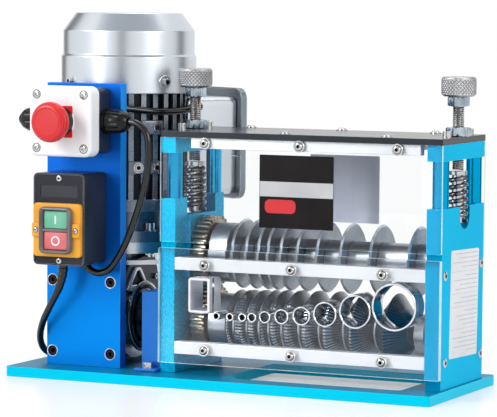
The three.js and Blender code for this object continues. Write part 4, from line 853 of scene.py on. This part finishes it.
def knurled_knob(bm, middle, low, radius=17, top=19, columns=224, crossings=28, rows=44):
    """A knob with a diamond knurl between two plain chamfered rims, and a turned dimple on top."""
    knurl_foot, knurl_top = 2.4, top - 2.2

    def groove_at(turn, a):
        """0 at the bottom of a groove and 1 on the middle of a diamond."""
        climb = (a - knurl_foot) / (2 * pi * radius) * crossings
        return min(abs((turn + climb) % 1 - 0.5), abs((turn - climb) % 1 - 0.5)) * 2

    layers = circles(((0, 5.9), (0, radius - 2.4), (1.6, radius - 0.5), (2.2, radius - 0.5)), columns)
    for k in range(rows + 1):
        a = knurl_foot + (knurl_top - knurl_foot) * k / rows
        depths = [0.8 * (1 - min(groove_at(s / columns * crossings, a) * 2.2, 1)) for s in range(columns)]
        layers.append((a, [(u * (radius - depth), v * (radius - depth))
                           for depth, (u, v) in zip(depths, circle(1, columns))]))
    layers += circles(((top - 2, radius - 0.5), (top - 1.1, radius - 0.5), (top, radius - 1.8), (top, 6.5),
                       (top - 0.6, 5.8), (top - 0.6, 2.2), (top - 1.6, 0.1)), columns)
    loft(bm, layers, "z", (middle, shaft_y, low))
    axis = place(middle, shaft_y, low)
    # The faces in the knurl's grooves take the second material, painted darker as shade.
    for face in bm.faces:
        out = face.calc_center_median() - axis
        a = out.z * 1000
        if knurl_foot < a < knurl_top and out.xy.length > (radius - 1.2) / 1000:
            turn = atan2(out.y, out.x) / (2 * pi) * crossings
            face.material_index = 1 if groove_at(turn, a) < 0.3 else 0


def hex_nut(name, middle, low, high, half_flats, bore, body, replaces=None):
    """A nut with its corners turned off at both ends, round a chamfered bore."""
    corner, turned_off = half_flats * 0.08, half_flats * 0.99
    layers = [(z, hexagon(half_flats, 48, limit)) for z, limit in (
        (low, turned_off), (low + corner, 99), (high - corner, 99), (high, turned_off))]
    layers += circles(((high, bore + 0.8), (high - 0.8, bore), (low + 0.8, bore), (low, bore + 0.8)))
    lofted(name, layers, "z", blue_zinc, "bright_steel", (middle, shaft_y, 0), closed=True, body=body,
           replaces=replaces)


spring_steel = finish("spring steel", (88, 85, 88), (138, 134, 138), (0.14, 0.24), metallic=1, cloud=120,
                      bump=0.03)
blue_zinc = finish("blue zinc plate", (122, 136, 148), (192, 205, 214), (0.12, 0.22), metallic=1, cloud=60,
                   bump=0.02, edge=((250, 253, 255), 0.0005))
thread_root_shade = finish("thread root painted shade", (88, 78, 66), (120, 108, 94), (0.25, 0.4), metallic=1, cloud=60,
                     bump=0.03)
knurl_groove_shade = finish("knurl groove painted shade", (132, 132, 134), (156, 156, 158), (0.4, 0.5), metallic=0.9, cloud=60,
                    bump=0.03)
knob_grey = finish("knurled knob", (160, 160, 163), (190, 190, 192), (0.36, 0.46), metallic=0.9, cloud=60,
                   bump=0.04, edge=((226, 226, 228), 0.0004))
spring_low, spring_length, coils, rod, collar_low, collar_high = 167.1, 46.8, 6, 5.9, 214, 218
for side, middle, knob_low, wound, wire, collar in (
    ("left", left_screw_x, 293, 10, 2.5, 11), ("right", right_screw_x, 290, 8.3, 2.2, 9.2),
):
    spring_line = []
    for k in range(coils * 28 + 1):
        height = spring_low + wire + (spring_length - 2 * wire) * k / (coils * 28)
        turn = 2 * pi * k / 28
        spring_line.append(place(middle + wound * cos(turn), shaft_y + wound * sin(turn), height))
    bm = bmesh.new()
    sweep(bm, spring_line, [wire / 1000] * len(spring_line))
    new_piece(side + "_spring_wound", bm, spring_steel, "gear_steel", "carriage", smooth=60,
              replaces=side + "_spring")
    bm = bmesh.new()
    loft(bm, circles(((167, 5.0), (167.8, rod), (collar_low, rod)), 28), "z", (middle, shaft_y, 0))
    loft(bm, circles(((collar_low, rod), (collar_low, collar - 0.3), (collar_low + 0.3, collar),
                      (collar_high - 0.3, collar), (collar_high, collar - 0.3), (collar_high, rod)), 40),
         "z", (middle, shaft_y, 0))
    threaded(bm, middle, collar_high, knob_low + 1, rod)
    screw_body = side + "_screw"
    new_piece(side + "_adjusting_screw_cut", bm, [plated, thread_root_shade], "bright_steel", screw_body,
              replaces=side + "_adjusting_screw")
    hex_nut(side + "_jam_nut", middle, knob_low - 9.5, knob_low, 9.4, 5.6, screw_body)
    bm = bmesh.new()
    knurled_knob(bm, middle, knob_low)
    new_piece(side + "_knob", bm, [knob_grey, knurl_groove_shade], "bright_steel", screw_body, smooth=60)
    hex_nut(side + "_plate_nut_turned", middle, 251.4, 260.2, 10.7, 6.2, "stand", side + "_plate_nut")


# Motor column: a 12 mm steel plate on edge, coated deep blue, that carries the gearbox, the stop
# box and the switch. Four blackened cap screws are sunk in its face, in bright counterbores.
coat = {"grain": 3000, "cloud": 5, "bump": 0.02}
# The front is painted lighter towards its foot, as painted light. The +X side is a lighter copy, as painted
# light, that is painted darker towards its foot, as painted shade.
blue = finish("blue coat", (12, 94, 202), (18, 108, 216), (0.34, 0.42), metallic=0.6, specular=0.3,
              edge=((84, 164, 246), 0.0006), tint=(0.3, 0.6, 1), foot=((0, 134, 226), 0.05, 0.17), **coat)
blue_side_painted_light = finish("blue coat side painted lit", (0, 146, 246), (0, 160, 255), (0.34, 0.42), metallic=0.4, specular=0.2,
                   edge=((90, 180, 255), 0.0006), tint=(0.2, 0.6, 1), foot=((0, 96, 205), 0.05, 0.17), **coat)
repaint(finer("motor_column", [blue, blue_side_painted_light], "blue_coat", 0.6), 1, lambda face: face.normal.x > 0.9)
sunk = [(x, z) for x in (-197, -130.8) for z in (23.8, 96.4)]
screws("motor_column_screws", cap_screw, [(x, 44.9, z) for x, z in sunk], "-y", blackened, radius=4.4,
       height=6, slot="black_plastic")
bm = bmesh.new()
for x, z in sunk:
    loft(bm, circles(((37.75, 5.9), (37.9, 6.05), (38.1, 6.05), (38.1, 5.2), (37.8, 5.3)), 32), "y",
         (x, 0, z), closed=True)
new_piece("counterbore_rims", bm, plated, "bright_steel")


# Gearbox: cast aluminium worm gearbox, bolted to the column. A webbed side cover with a sunk pocket and a
# rubber seal faces the guard.
def seen_from(centre, polygon, sides=48):
    """The polygon's border at even angles round a centre, so that it can be bridged to another one."""
    outline = []
    for ray in (Vector(spot) for spot in circle(1, sides)):
        best = 0
        for (ax, ay), (bx, by) in zip(polygon, polygon[1:] + polygon[:1]):
            edge, start = Vector((bx - ax, by - ay)), Vector((ax - centre[0], ay - centre[1]))
            across = ray.x * edge.y - ray.y * edge.x
            if abs(across) > 1e-9:
                far = (start.x * edge.y - start.y * edge.x) / across
                along = (start.x * ray.y - start.y * ray.x) / across
                if far > 0 and -0.0001 <= along <= 1.0001:
                    best = max(best, far)
        outline.append((centre[0] + ray.x * best, centre[1] + ray.y * best))
    return outline


cast = finish("cast aluminium", (178, 184, 191), (212, 217, 223), (0.22, 0.34), metallic=0.95, grain=1800,
              cloud=18, bump=0.06, edge=((255, 255, 255), 0.0008))
dark_cast = finish("dark casting", (92, 103, 114), (138, 149, 160), (0.22, 0.34), metallic=0.85, grain=1800,
                   cloud=16, bump=0.07, edge=((222, 228, 234), 0.0008))
shade_cast = finish("shaded casting", (34, 39, 46), (62, 69, 78), (0.26, 0.4), metallic=0.7, grain=1800,
                    cloud=16, bump=0.1, edge=((150, 156, 163), 0.0006), specular=0.3)
finer("gearbox_housing", cast, "cast_aluminium", 0.9)
pocket_middle, boss, cover_back, cover_face = (84, 97), (0, 114.8, 80.2), -133, -126
web = seen_from(pocket_middle, [(56, 62), (56, 96), (70, 114.6), (124, 121.8), (134, 100), (134, 62)])
lofted("gearbox_side_cover",
       ((cover_back, web), (cover_face, web), (-125.2, scaled(web, 0.98, pocket_middle))), "x", shade_cast,
       "dark_casting", edge=0.5, smooth=30)
pocket = seen_from(pocket_middle, [(70, 91.5), (98.5, 90.5), (86.5, 104.5), (81.5, 104.5)])
rim = seen_from(pocket_middle, [(61, 87.5), (64, 85.5), (105, 84.5), (108, 86.5), (91, 107.5), (87.5, 109),
                                (80, 109), (77, 107.5)])
bm = bmesh.new()
loft(bm, ((cover_face, rim), (-123.6, rim), (-122.4, scaled(rim, 0.93, pocket_middle)),
          (-122.4, scaled(pocket, 1.12, pocket_middle)), (-123.4, pocket), (cover_face, pocket)),
     "x", closed=True)
loft(bm, circles(((cover_face, 5.4), (-123.4, 5.4), (-122.6, 4.6), (-122.6, 3.2), (-123.4, 2.6),
                  (cover_face, 2.6)), 28), "x", boss, closed=True)
ridge = [(60, 112.6), (128, 107.6), (130, 110), (129, 112.6), (62, 117.4), (59, 115.4)]
loft(bm, ((cover_face, ridge), (-123.2, ridge), (-122.6, scaled(ridge, 0.97, (95, 112.5)))), "x")
new_piece("gearbox_ribs", bm, cast, "cast_aluminium", edge=0.5, smooth=30)
# A dark sheet on the pocket's floor and round the boss stands in for the shade there: painted shade.
bm = bmesh.new()
pocket_floor = scaled(pocket, 1.02, pocket_middle)
loft(bm, ((-125.3, pocket_floor), (-125.05, pocket_floor)), "x")
loft(bm, circles(((-125.3, 2.7), (-125, 2.7)), 24), "x", boss)
new_piece("gearbox_pocket_floor", bm, recess_shade, "dark_casting")
lofted("shaft_seal", circles((
    (-123, 33.6), (-120.6, 33.6), (-119.8, 32.6), (-119.8, 29.6), (-120.6, 28.8), (-121.4, 28.8),
    (-121.4, 27.2), (-118.6, 27.2), (-118.2, 26.4), (-118.2, 22.6), (-118.9, 22), (-118.9, 11), (-123, 11)),
    64), "x", rubber, "black_rubber", (0, shaft_y, lower_z), closed=True)
bm = bmesh.new()
for profile in (((-123.4, 36.2), (-121.6, 36.2), (-121, 35.6), (-121, 33.9), (-123.4, 33.9)),
                ((-121.3, 28.7), (-120.9, 28.5), (-120.9, 27.5), (-121.3, 27.3))):
    loft(bm, circles(profile, 64), "x", (0, shaft_y, lower_z), closed=True)
new_piece("seal_seat", bm, plated, "bright_steel")
screws("side_cover_screws", cap_screw, [(-125.2, 66, 78), (-125.2, 124, 96)], "x", radius=2.9, height=3)


motor_x, motor_y, bolt_circle = -162, 136, 52


def beside_motor(angle, radius, z):
    """A point at an angle round the motor's axis."""
    return Vector((motor_x, motor_y, z)) + heading(angle) * radius


bm = bmesh.new()
for angle in (45, 135, 225, 315):
    hex_bolt(bm, beside_motor(angle - 82, bolt_circle, 122), "-z", half_flats=4, height=3.2, washer=5.4)
for angle in range(30, 390, 60):
    cap_screw(bm, (-201, shaft_y + 24 * cos(radians(angle)), lower_z + 24 * sin(radians(angle))), "-x",
              radius=3.2, height=3)
hex_bolt(bm, (motor_x, shaft_y - 42.6, lower_z), "-y", half_flats=5, height=4, washer=7)
new_piece("gearbox_bolts", bm, [plated, recess_shade], "bright_steel")


# Motor: cast dark grey body with upright cooling fins between its end shields, bolted to the gearbox by
# its flange. Small square bosses carry screws. The hollows between the fins are painted dark, as shade.
fin_grey = finish("cast fins", (112, 122, 132), (150, 160, 170), (0.22, 0.34), metallic=0.85, grain=1800,
                  cloud=16, bump=0.07, edge=((236, 240, 244), 0.0007))
boss_grey = finish("milled boss", (120, 128, 137), (150, 158, 167), (0.22, 0.34), metallic=0.9, grain=1800,
                   cloud=20, bump=0.06, edge=((226, 231, 236), 0.0007))
# Painted shade: the fins' colour darkens towards the body, in the hollows between the fins.
tree, axis = fin_grey.node_tree, place(*beside_motor(0, 0, 0))
from_axis = node(tree, "VectorMath", {0: node(tree, "TexCoord").outputs["Object"], 1: (1, 1, 0),
                                      2: (-axis.x, -axis.y, 0)}, operation="MULTIPLY_ADD")
radius = node(tree, "VectorMath", {0: from_axis.outputs[0]}, operation="LENGTH").outputs["Value"]
depth = node(tree, "MapRange", {"Value": radius, "From Min": 0.0602, "From Max": 0.0566})
overlay(fin_grey, (30, 36, 44), depth.outputs[0])
repaint(finer("motor_body", [dark_cast, fin_grey], "dark_casting", 0.5), 1,
        lambda face: 0.1775 < face.center.z < 0.2852)
bm, screw_bm, pad_radius = bmesh.new(), bmesh.new(), 62.9
for first, last, low, high, turns in (
    (-62, -29, 203, 216.5, (-53, -35)), (-50, -29, 243.5, 258, (-35,)),
    (-151, -118, 203, 216.5, (-145, -127)), (-151, -130, 243.5, 258, (-145,)),
):
    arc = [first + (last - first) * k / 10 for k in range(11)]
    rings = []
    for z, trim in ((low, 0.8), (low + 0.8, 0), (high - 0.8, 0), (high, 0.8)):
        outer = [place(*beside_motor(a, pad_radius - trim, z)) for a in arc]
        rings.append(outer + [place(*beside_motor(a, 55, z)) for a in arc[::-1]])
    skin(bm, rings)
    for angle in turns:
        out, middle = heading(angle), beside_motor(angle, pad_radius - 0.5, (low + high) / 2)
        # The inner band of each ring is painted dark, as shade round the screw.
        loft(screw_bm, circles(((0, 5.4), (0.8, 5.4), (1, 5.2), (1, 4.3), (0.2, 4.2), (0.2, 2)), 28), out,
             middle, bands=[0, 0, 0, 1, 1])
        cap_screw(screw_bm, middle, out, radius=3.9, height=1.6)
new_piece("motor_pads", bm, boss_grey, "dark_casting", edge=0.4)
new_piece("motor_pad_screws", screw_bm, [plated, recess_shade], "bright_steel", smooth=40)
screws("flange_screws", cap_screw, [beside_motor(angle, bolt_circle, 144.5) for angle in (-37, 53, 143, 233)],
       "z", radius=4.6, height=8, washer=6)


# Fan and fan cover: a moulded fan under a spun and pressed sheet cover, whose top is slotted. Four screws
# in dimples hold the cover.
cover_silver = finish("fan cover silver", (200, 207, 214), (214, 220, 226), (0.28, 0.34), metallic=0.95,
                      grain=2600, stretch=(1, 1, 0.2), cloud=5, bump=0.02)
fan_black = finish("fan plastic", (26, 27, 30), (40, 42, 46), (0.4, 0.55), grain=1200, bump=0.15)
finer("motor_fan_cover", cover_silver, "cast_aluminium", 0.7)
finer("motor_fan", fan_black, "black_plastic", 0.5)
dimple_bm, screw_bm = bmesh.new(), bmesh.new()
for angle in (-30, 60, 150, 240):
    out = heading(angle)
    loft(dimple_bm, circles(((0, 7.6), (0.75, 7.3), (0.95, 6.5), (0.9, 5.4), (0.3, 0)), 28), out,
         beside_motor(angle, 69.3, 297.2))
    cap_screw(screw_bm, beside_motor(angle, 69.7, 297.2), out, radius=3.6, height=4)
new_piece("fan_cover_dimples", dimple_bm, cover_silver, "cast_aluminium", smooth=50)
new_piece("fan_cover_screws", screw_bm, [plated, recess_shade], "bright_steel", smooth=40)


# Terminal box: a tub of cast aluminium on the motor's side, with a domed lid. Four cross-headed screws
# hold the lid down.
box_grey = finish("terminal box grey", (196, 203, 209), (222, 227, 232), (0.18, 0.3), metallic=0.95,
                  grain=3000, cloud=6, bump=0.012, edge=((246, 249, 251), 0.0006))
lip_grey = finish("terminal box lip", (104, 113, 121), (140, 148, 156), (0.2, 0.32), metallic=0.9, grain=3000,
                  cloud=9, bump=0.012, edge=((238, 243, 246), 0.0016))
finer("terminal_box", box_grey, "cast_aluminium", 1.0)
finer("terminal_box_lid", lip_grey, "cast_aluminium", 0.9)
screws("lid_screws", phillips_screw,
       [beside_motor(60, 112, z) + heading(150) * side for side in (-47, 47) for z in (180, 282)],
       heading(60), radius=3.2, height=1.6)


# Stop box: grey base and white cover, moulded, with a red legend plate, a black collar and a red
# mushroom button that is pushed in.
white_shell = finish("white plastic", (247, 248, 251), (253, 254, 255), (0.34, 0.46), grain=1300, cloud=12,
                     bump=0.1)
grey_shell = finish("dark grey plastic", (26, 32, 42), (42, 49, 60), (0.3, 0.42), cloud=12, bump=0.08,
                    specular=0.25)
red_plastic = finish("red button plastic", (206, 24, 30), (226, 42, 46), (0.26, 0.38), grain=1300, cloud=20)
collar_black = finish("collar black", (18, 18, 20), (32, 32, 35), (0.3, 0.42), specular=0.25)
well_shade = finish("painted screw well shade", (78, 78, 84), (100, 100, 106), (0.45, 0.6), grain=1300)
finer("stop_box_cover", white_shell, "white_plastic", 2.2)
finer("stop_box_base", grey_shell, "black_plastic", 0.8)
stop_x, stop_z, stop_front = -164, 259.5, -6.9
legend = rounded_rectangle(-16, 14.2, -15.9, 15.7, 1)
lofted("stop_legend", ((-7, legend), (-7.9, legend)), "y", red_plastic, "red_plastic", (stop_x, 0, stop_z),
       edge=0.2)
lofted("stop_collar",
       circles(((-7.2, 15.3), (-8.2, 15.6), (-15.4, 15.6), (-16.3, 14.8), (-16.3, 8.4), (-7.2, 8.4)), 56),
       "y", collar_black, "black_plastic", (stop_x, 0, stop_z), closed=True)
lofted("stop_button_moulded", circles((
    (2, 0), (2, 7.6), (1.6, 8), (-20.6, 8), (-21.2, 13), (-22, 18), (-23.4, 19.6), (-25, 20), (-28.6, 20),
    (-30, 19.5), (-30.6, 18.9), (-31, 18.3), (-31.4, 18.2), (-32.2, 18), (-33.2, 17), (-33.8, 15.4),
    (-33.9, 14.4), (-33.5, 14), (-33.5, 13.5), (-33.9, 13.1), (-34, 11), (-34, 0)), 72), "y", red_plastic,
    "red_plastic", (stop_x, 0, stop_z), body="stop", smooth=30, replaces="stop_button")
corners = [(x, stop_front, z) for x in (-190.5, -137.3) for z in (232.8, 286.2)]
screws("stop_box_screws", phillips_screw, corners, "-y", radius=3.5, height=0.9)
# Dark rings round the screws stand in for the shade in their wells: painted shade.
bm = bmesh.new()
for corner in corners:
    loft(bm, circles(((0, 4.7), (0.22, 4.6), (0.22, 3.9), (0, 3.8)), 28), "-y", corner, closed=True)
new_piece("stop_box_wells", bm, well_shade, "white_plastic")


# Glands: moulded black nylon, screwed into the sides of the stop box. A ribbed nut grips the link lead on
# the right, and a blind one closes the left side.
def ribbed(radius, depth, ribs=12, sides=72):
    """A circle with grooves cut all round it."""
    grooves = [depth if (k * ribs / sides) % 1 < 0.34 else 0 for k in range(sides)]
    return [(u * (radius - groove), v * (radius - groove))
            for groove, (u, v) in zip(grooves, circle(1, sides))]


gland_y = 24.9
gland_black = finish("gland nylon", (8, 8, 9), (20, 20, 22), (0.16, 0.28), cloud=40, specular=0.3)
for side, direction, start, tip in (
    ("right", "x", -130.8, ((27.2, 4.4), (25, 3.6))),
    ("left", "-x", -197.2, ((29, 5), (30.2, 2.4), (30.3, 0.4))),
):
    foot = hexagon(11.6, 72, 12.4)
    layers = [(0, foot), (4, foot)] + circles(((4.01, 10.4), (6, 10.4)), 72) + [
        (6.1, ribbed(12.2, 0.1)), (7, ribbed(12.4, 0.9)), (18.5, ribbed(11.8, 0.9)),
        (20.5, ribbed(11.2, 0.3))]
    layers += circles(((24, 9.6), (26.4, 7.6), (27.3, 6.4), *tip), 72)
    lofted(side + "_gland_ribbed", layers, direction, gland_black, "black_rubber", (start, gland_y, stop_z),
           smooth=28, replaces=side + "_gland")


# Switch: black moulded box with a raised border and a bare label panel, a yellow frame clipped over it,
# a clear soft hood, and a green and a red push button.
switch_black = finish("switch box plastic", (30, 34, 42), (48, 51, 60), (0.26, 0.38), cloud=14, bump=0.08,
                      specular=0.25, edge=((84, 86, 94), 0.0007))
border_black = finish("switch box border", (32, 36, 44), (50, 53, 62), (0.26, 0.36), cloud=14, bump=0.06,
                      specular=0.25, edge=((128, 131, 140), 0.0009))
panel = finish("label panel", (50, 52, 60), (66, 68, 76), (0.3, 0.42), cloud=14, bump=0.04, specular=0.3)
yellow = finish("yellow plastic", (236, 160, 26), (250, 184, 54), (0.32, 0.44), grain=1300, cloud=16,
                bump=0.08)
hood = finish("soft hood", (96, 88, 90), (122, 114, 116), (0.16, 0.28), cloud=40, bump=0.02,
              edge=((196, 190, 192), 0.0006), specular=0.45)
green = finish("green button", (96, 180, 146), (122, 200, 168), (0.3, 0.42), grain=1300, bump=0.04)
pale_red = finish("pale red button", (222, 104, 108), (236, 128, 130), (0.3, 0.42), grain=1300, bump=0.04)
mark_white = finish("moulded white mark", (232, 236, 234), (246, 248, 247), (0.35, 0.5), grain=1300,
                    bump=0.04)
switch_x, switch_z, box_z, label_z, start_z, off_z, clip = -164.25, 151.55, 162, 190, 162.05, 141.05, 22.5
finer("switch_box", switch_black, "black_plastic", 0.9)
lofted("switch_box_border", pads(((-7.9, 28.75, 46, 5), (-8.9, 28.55, 45.8, 4.9), (-8.9, 27.15, 44.4, 3.8),
                                  (-7.9, 26.95, 44.2, 3.6))), "y", border_black, "black_plastic",
       (switch_x, 0, box_z), closed=True)
bm = bmesh.new()
loft(bm, pads(((-7.1, 21.15, 6.1, 0.8), (-7.5, 21.15, 6.1, 0.8))), "y", (switch_x, 0, label_z))
loft(bm, pads(((-7.7, 21.75, 6.7, 1.2), (-8.35, 21.65, 6.6, 1.2), (-8.35, 21.25, 6.2, 1.2),
               (-7.7, 21.15, 6.1, 1.2))), "y", (switch_x, 0, label_z), closed=True)
new_piece("switch_label_panel", bm, panel, "black_plastic", edge=0.15)

switch_middle = (switch_x, 0, switch_z)
bm = bmesh.new()
loft(bm, pads(((-8.2, 27, 26.75, 4), (-11.7, 27, 26.75, 4), (-12.5, 26.5, 26.25, 3.6),
               (-12.7, 25.8, 25.55, 3), (-12.7, 14, 20.2, 1.6), (-12.2, 13.6, 19.8, 1.3),
               (-8.2, 13.6, 19.8, 1.3))), "y", switch_middle, closed=True)
loft(bm, pads(((-8.4, 13.8, 1.2, 0.4), (-12.6, 13.8, 1.2, 0.4)), 2), "y", switch_middle)
for side in (-clip, clip):
    loft(bm, pads(((-12.2, 4.5, 7, 1.6), (-14.6, 4.5, 7, 1.6), (-15, 4.25, 6.75, 1.6),
                   (-15.2, 3.6, 6.1, 1.6))), "y", (switch_x + side, 0, switch_z))
new_piece("switch_frame_moulded", bm, yellow, "yellow_plastic", smooth=40, replaces="switch_frame")

box_front, clip_front = -8.2, -15.2
box_screws = [(switch_x, 203), (switch_x, 120.6)]
clip_screws = [(switch_x - clip, switch_z), (switch_x + clip, switch_z)]
screws("switch_box_screws", phillips_screw, [(x, box_front, z) for x, z in box_screws], "-y", radius=3.0,
       height=1.0)
screws("switch_frame_screws", phillips_screw, [(x, clip_front, z) for x, z in clip_screws], "-y", radius=2.4,
       height=0.9)
bm = bmesh.new()
loft(bm, pads(((-12.8, 18.2, 23.3, 5.6), (-16.6, 18.2, 23.3, 5.6), (-18.4, 17.2, 22.3, 5),
               (-18.6, 16, 21.2, 4), (-17.8, 14.6, 20.4, 3), (-14.9, 13.6, 19.6, 2.2),
               (-12.8, 13.5, 19.6, 2.2))), "y", switch_middle, closed=True)
loft(bm, pads(((-12.9, 13.9, 1.6, 0.5), (-15.6, 13.9, 1.5, 0.5), (-16.4, 13.9, 0.9, 0.5)), 3), "y",
     switch_middle)
new_piece("switch_hood", bm, hood, "clear_sheet", smooth=50)
# The wells round the screws are dark rings that stand in for shade: painted shade.
bm = bmesh.new()
for places, y, wide in ((box_screws, -8, 4), (clip_screws, -15.1, 3)):
    for x, z in places:
        loft(bm, circles(((0, wide), (0.25, wide - 0.1), (0.25, wide - 0.8), (0, wide - 0.9)), 24), "-y",
             (x, y, z), closed=True)
new_piece("switch_screw_wells", bm, collar_black, "black_plastic")

for name, body, slot, z, look in (("start_button", "start", "green_plastic", start_z, green),
                                  ("off_button", "off", "pale_red_plastic", off_z, pale_red)):
    lofted(name + "_moulded", pads((
        (-1.2, 11.9, 8.75, 1.4), (-12.75, 11.9, 8.75, 1.4), (-12.76, 13.2, 8.75, 1.4),
        (-14.6, 13.2, 8.75, 1.4), (-15, 12.9, 8.45, 1.4), (-15.2, 12.3, 7.85, 1.4))), "y", look, slot,
        (switch_x, 0, z), body=body, smooth=40, replaces=name)
lofted("start_mark", pads(((-15.1, 0.9, 4.2, 0.4), (-15.45, 0.9, 4.2, 0.4)), 3), "y", mark_white,
       "white_plastic", (switch_x, 0, start_z), body="start")
lofted("off_mark", circles(((-15.1, 3.4), (-15.45, 3.4), (-15.45, 4.9), (-15.1, 4.9)), 40), "y", mark_white,
       "white_plastic", (switch_x, 0, off_z), closed=True, body="off")


# Guard: sheet steel bent over the coupling between gearbox and rollers, coated blue, with a foot bolted
# down at each end.
guard_blue = finish("guard coat", (44, 118, 206), (56, 130, 218), (0.34, 0.42), metallic=0.3, specular=0.2,
                    edge=((110, 176, 246), 0.0006), tint=(0.4, 0.7, 1), **coat)
finer("coupling_guard", guard_blue, "blue_coat", 0.7)
bm = bmesh.new()
for y in (36, 158):
    hex_bolt(bm, (-86.5, y, 13.2), "z", half_flats=4.8, height=4.4, washer=6.2)
new_piece("guard_bolts", bm, plated, "bright_steel")
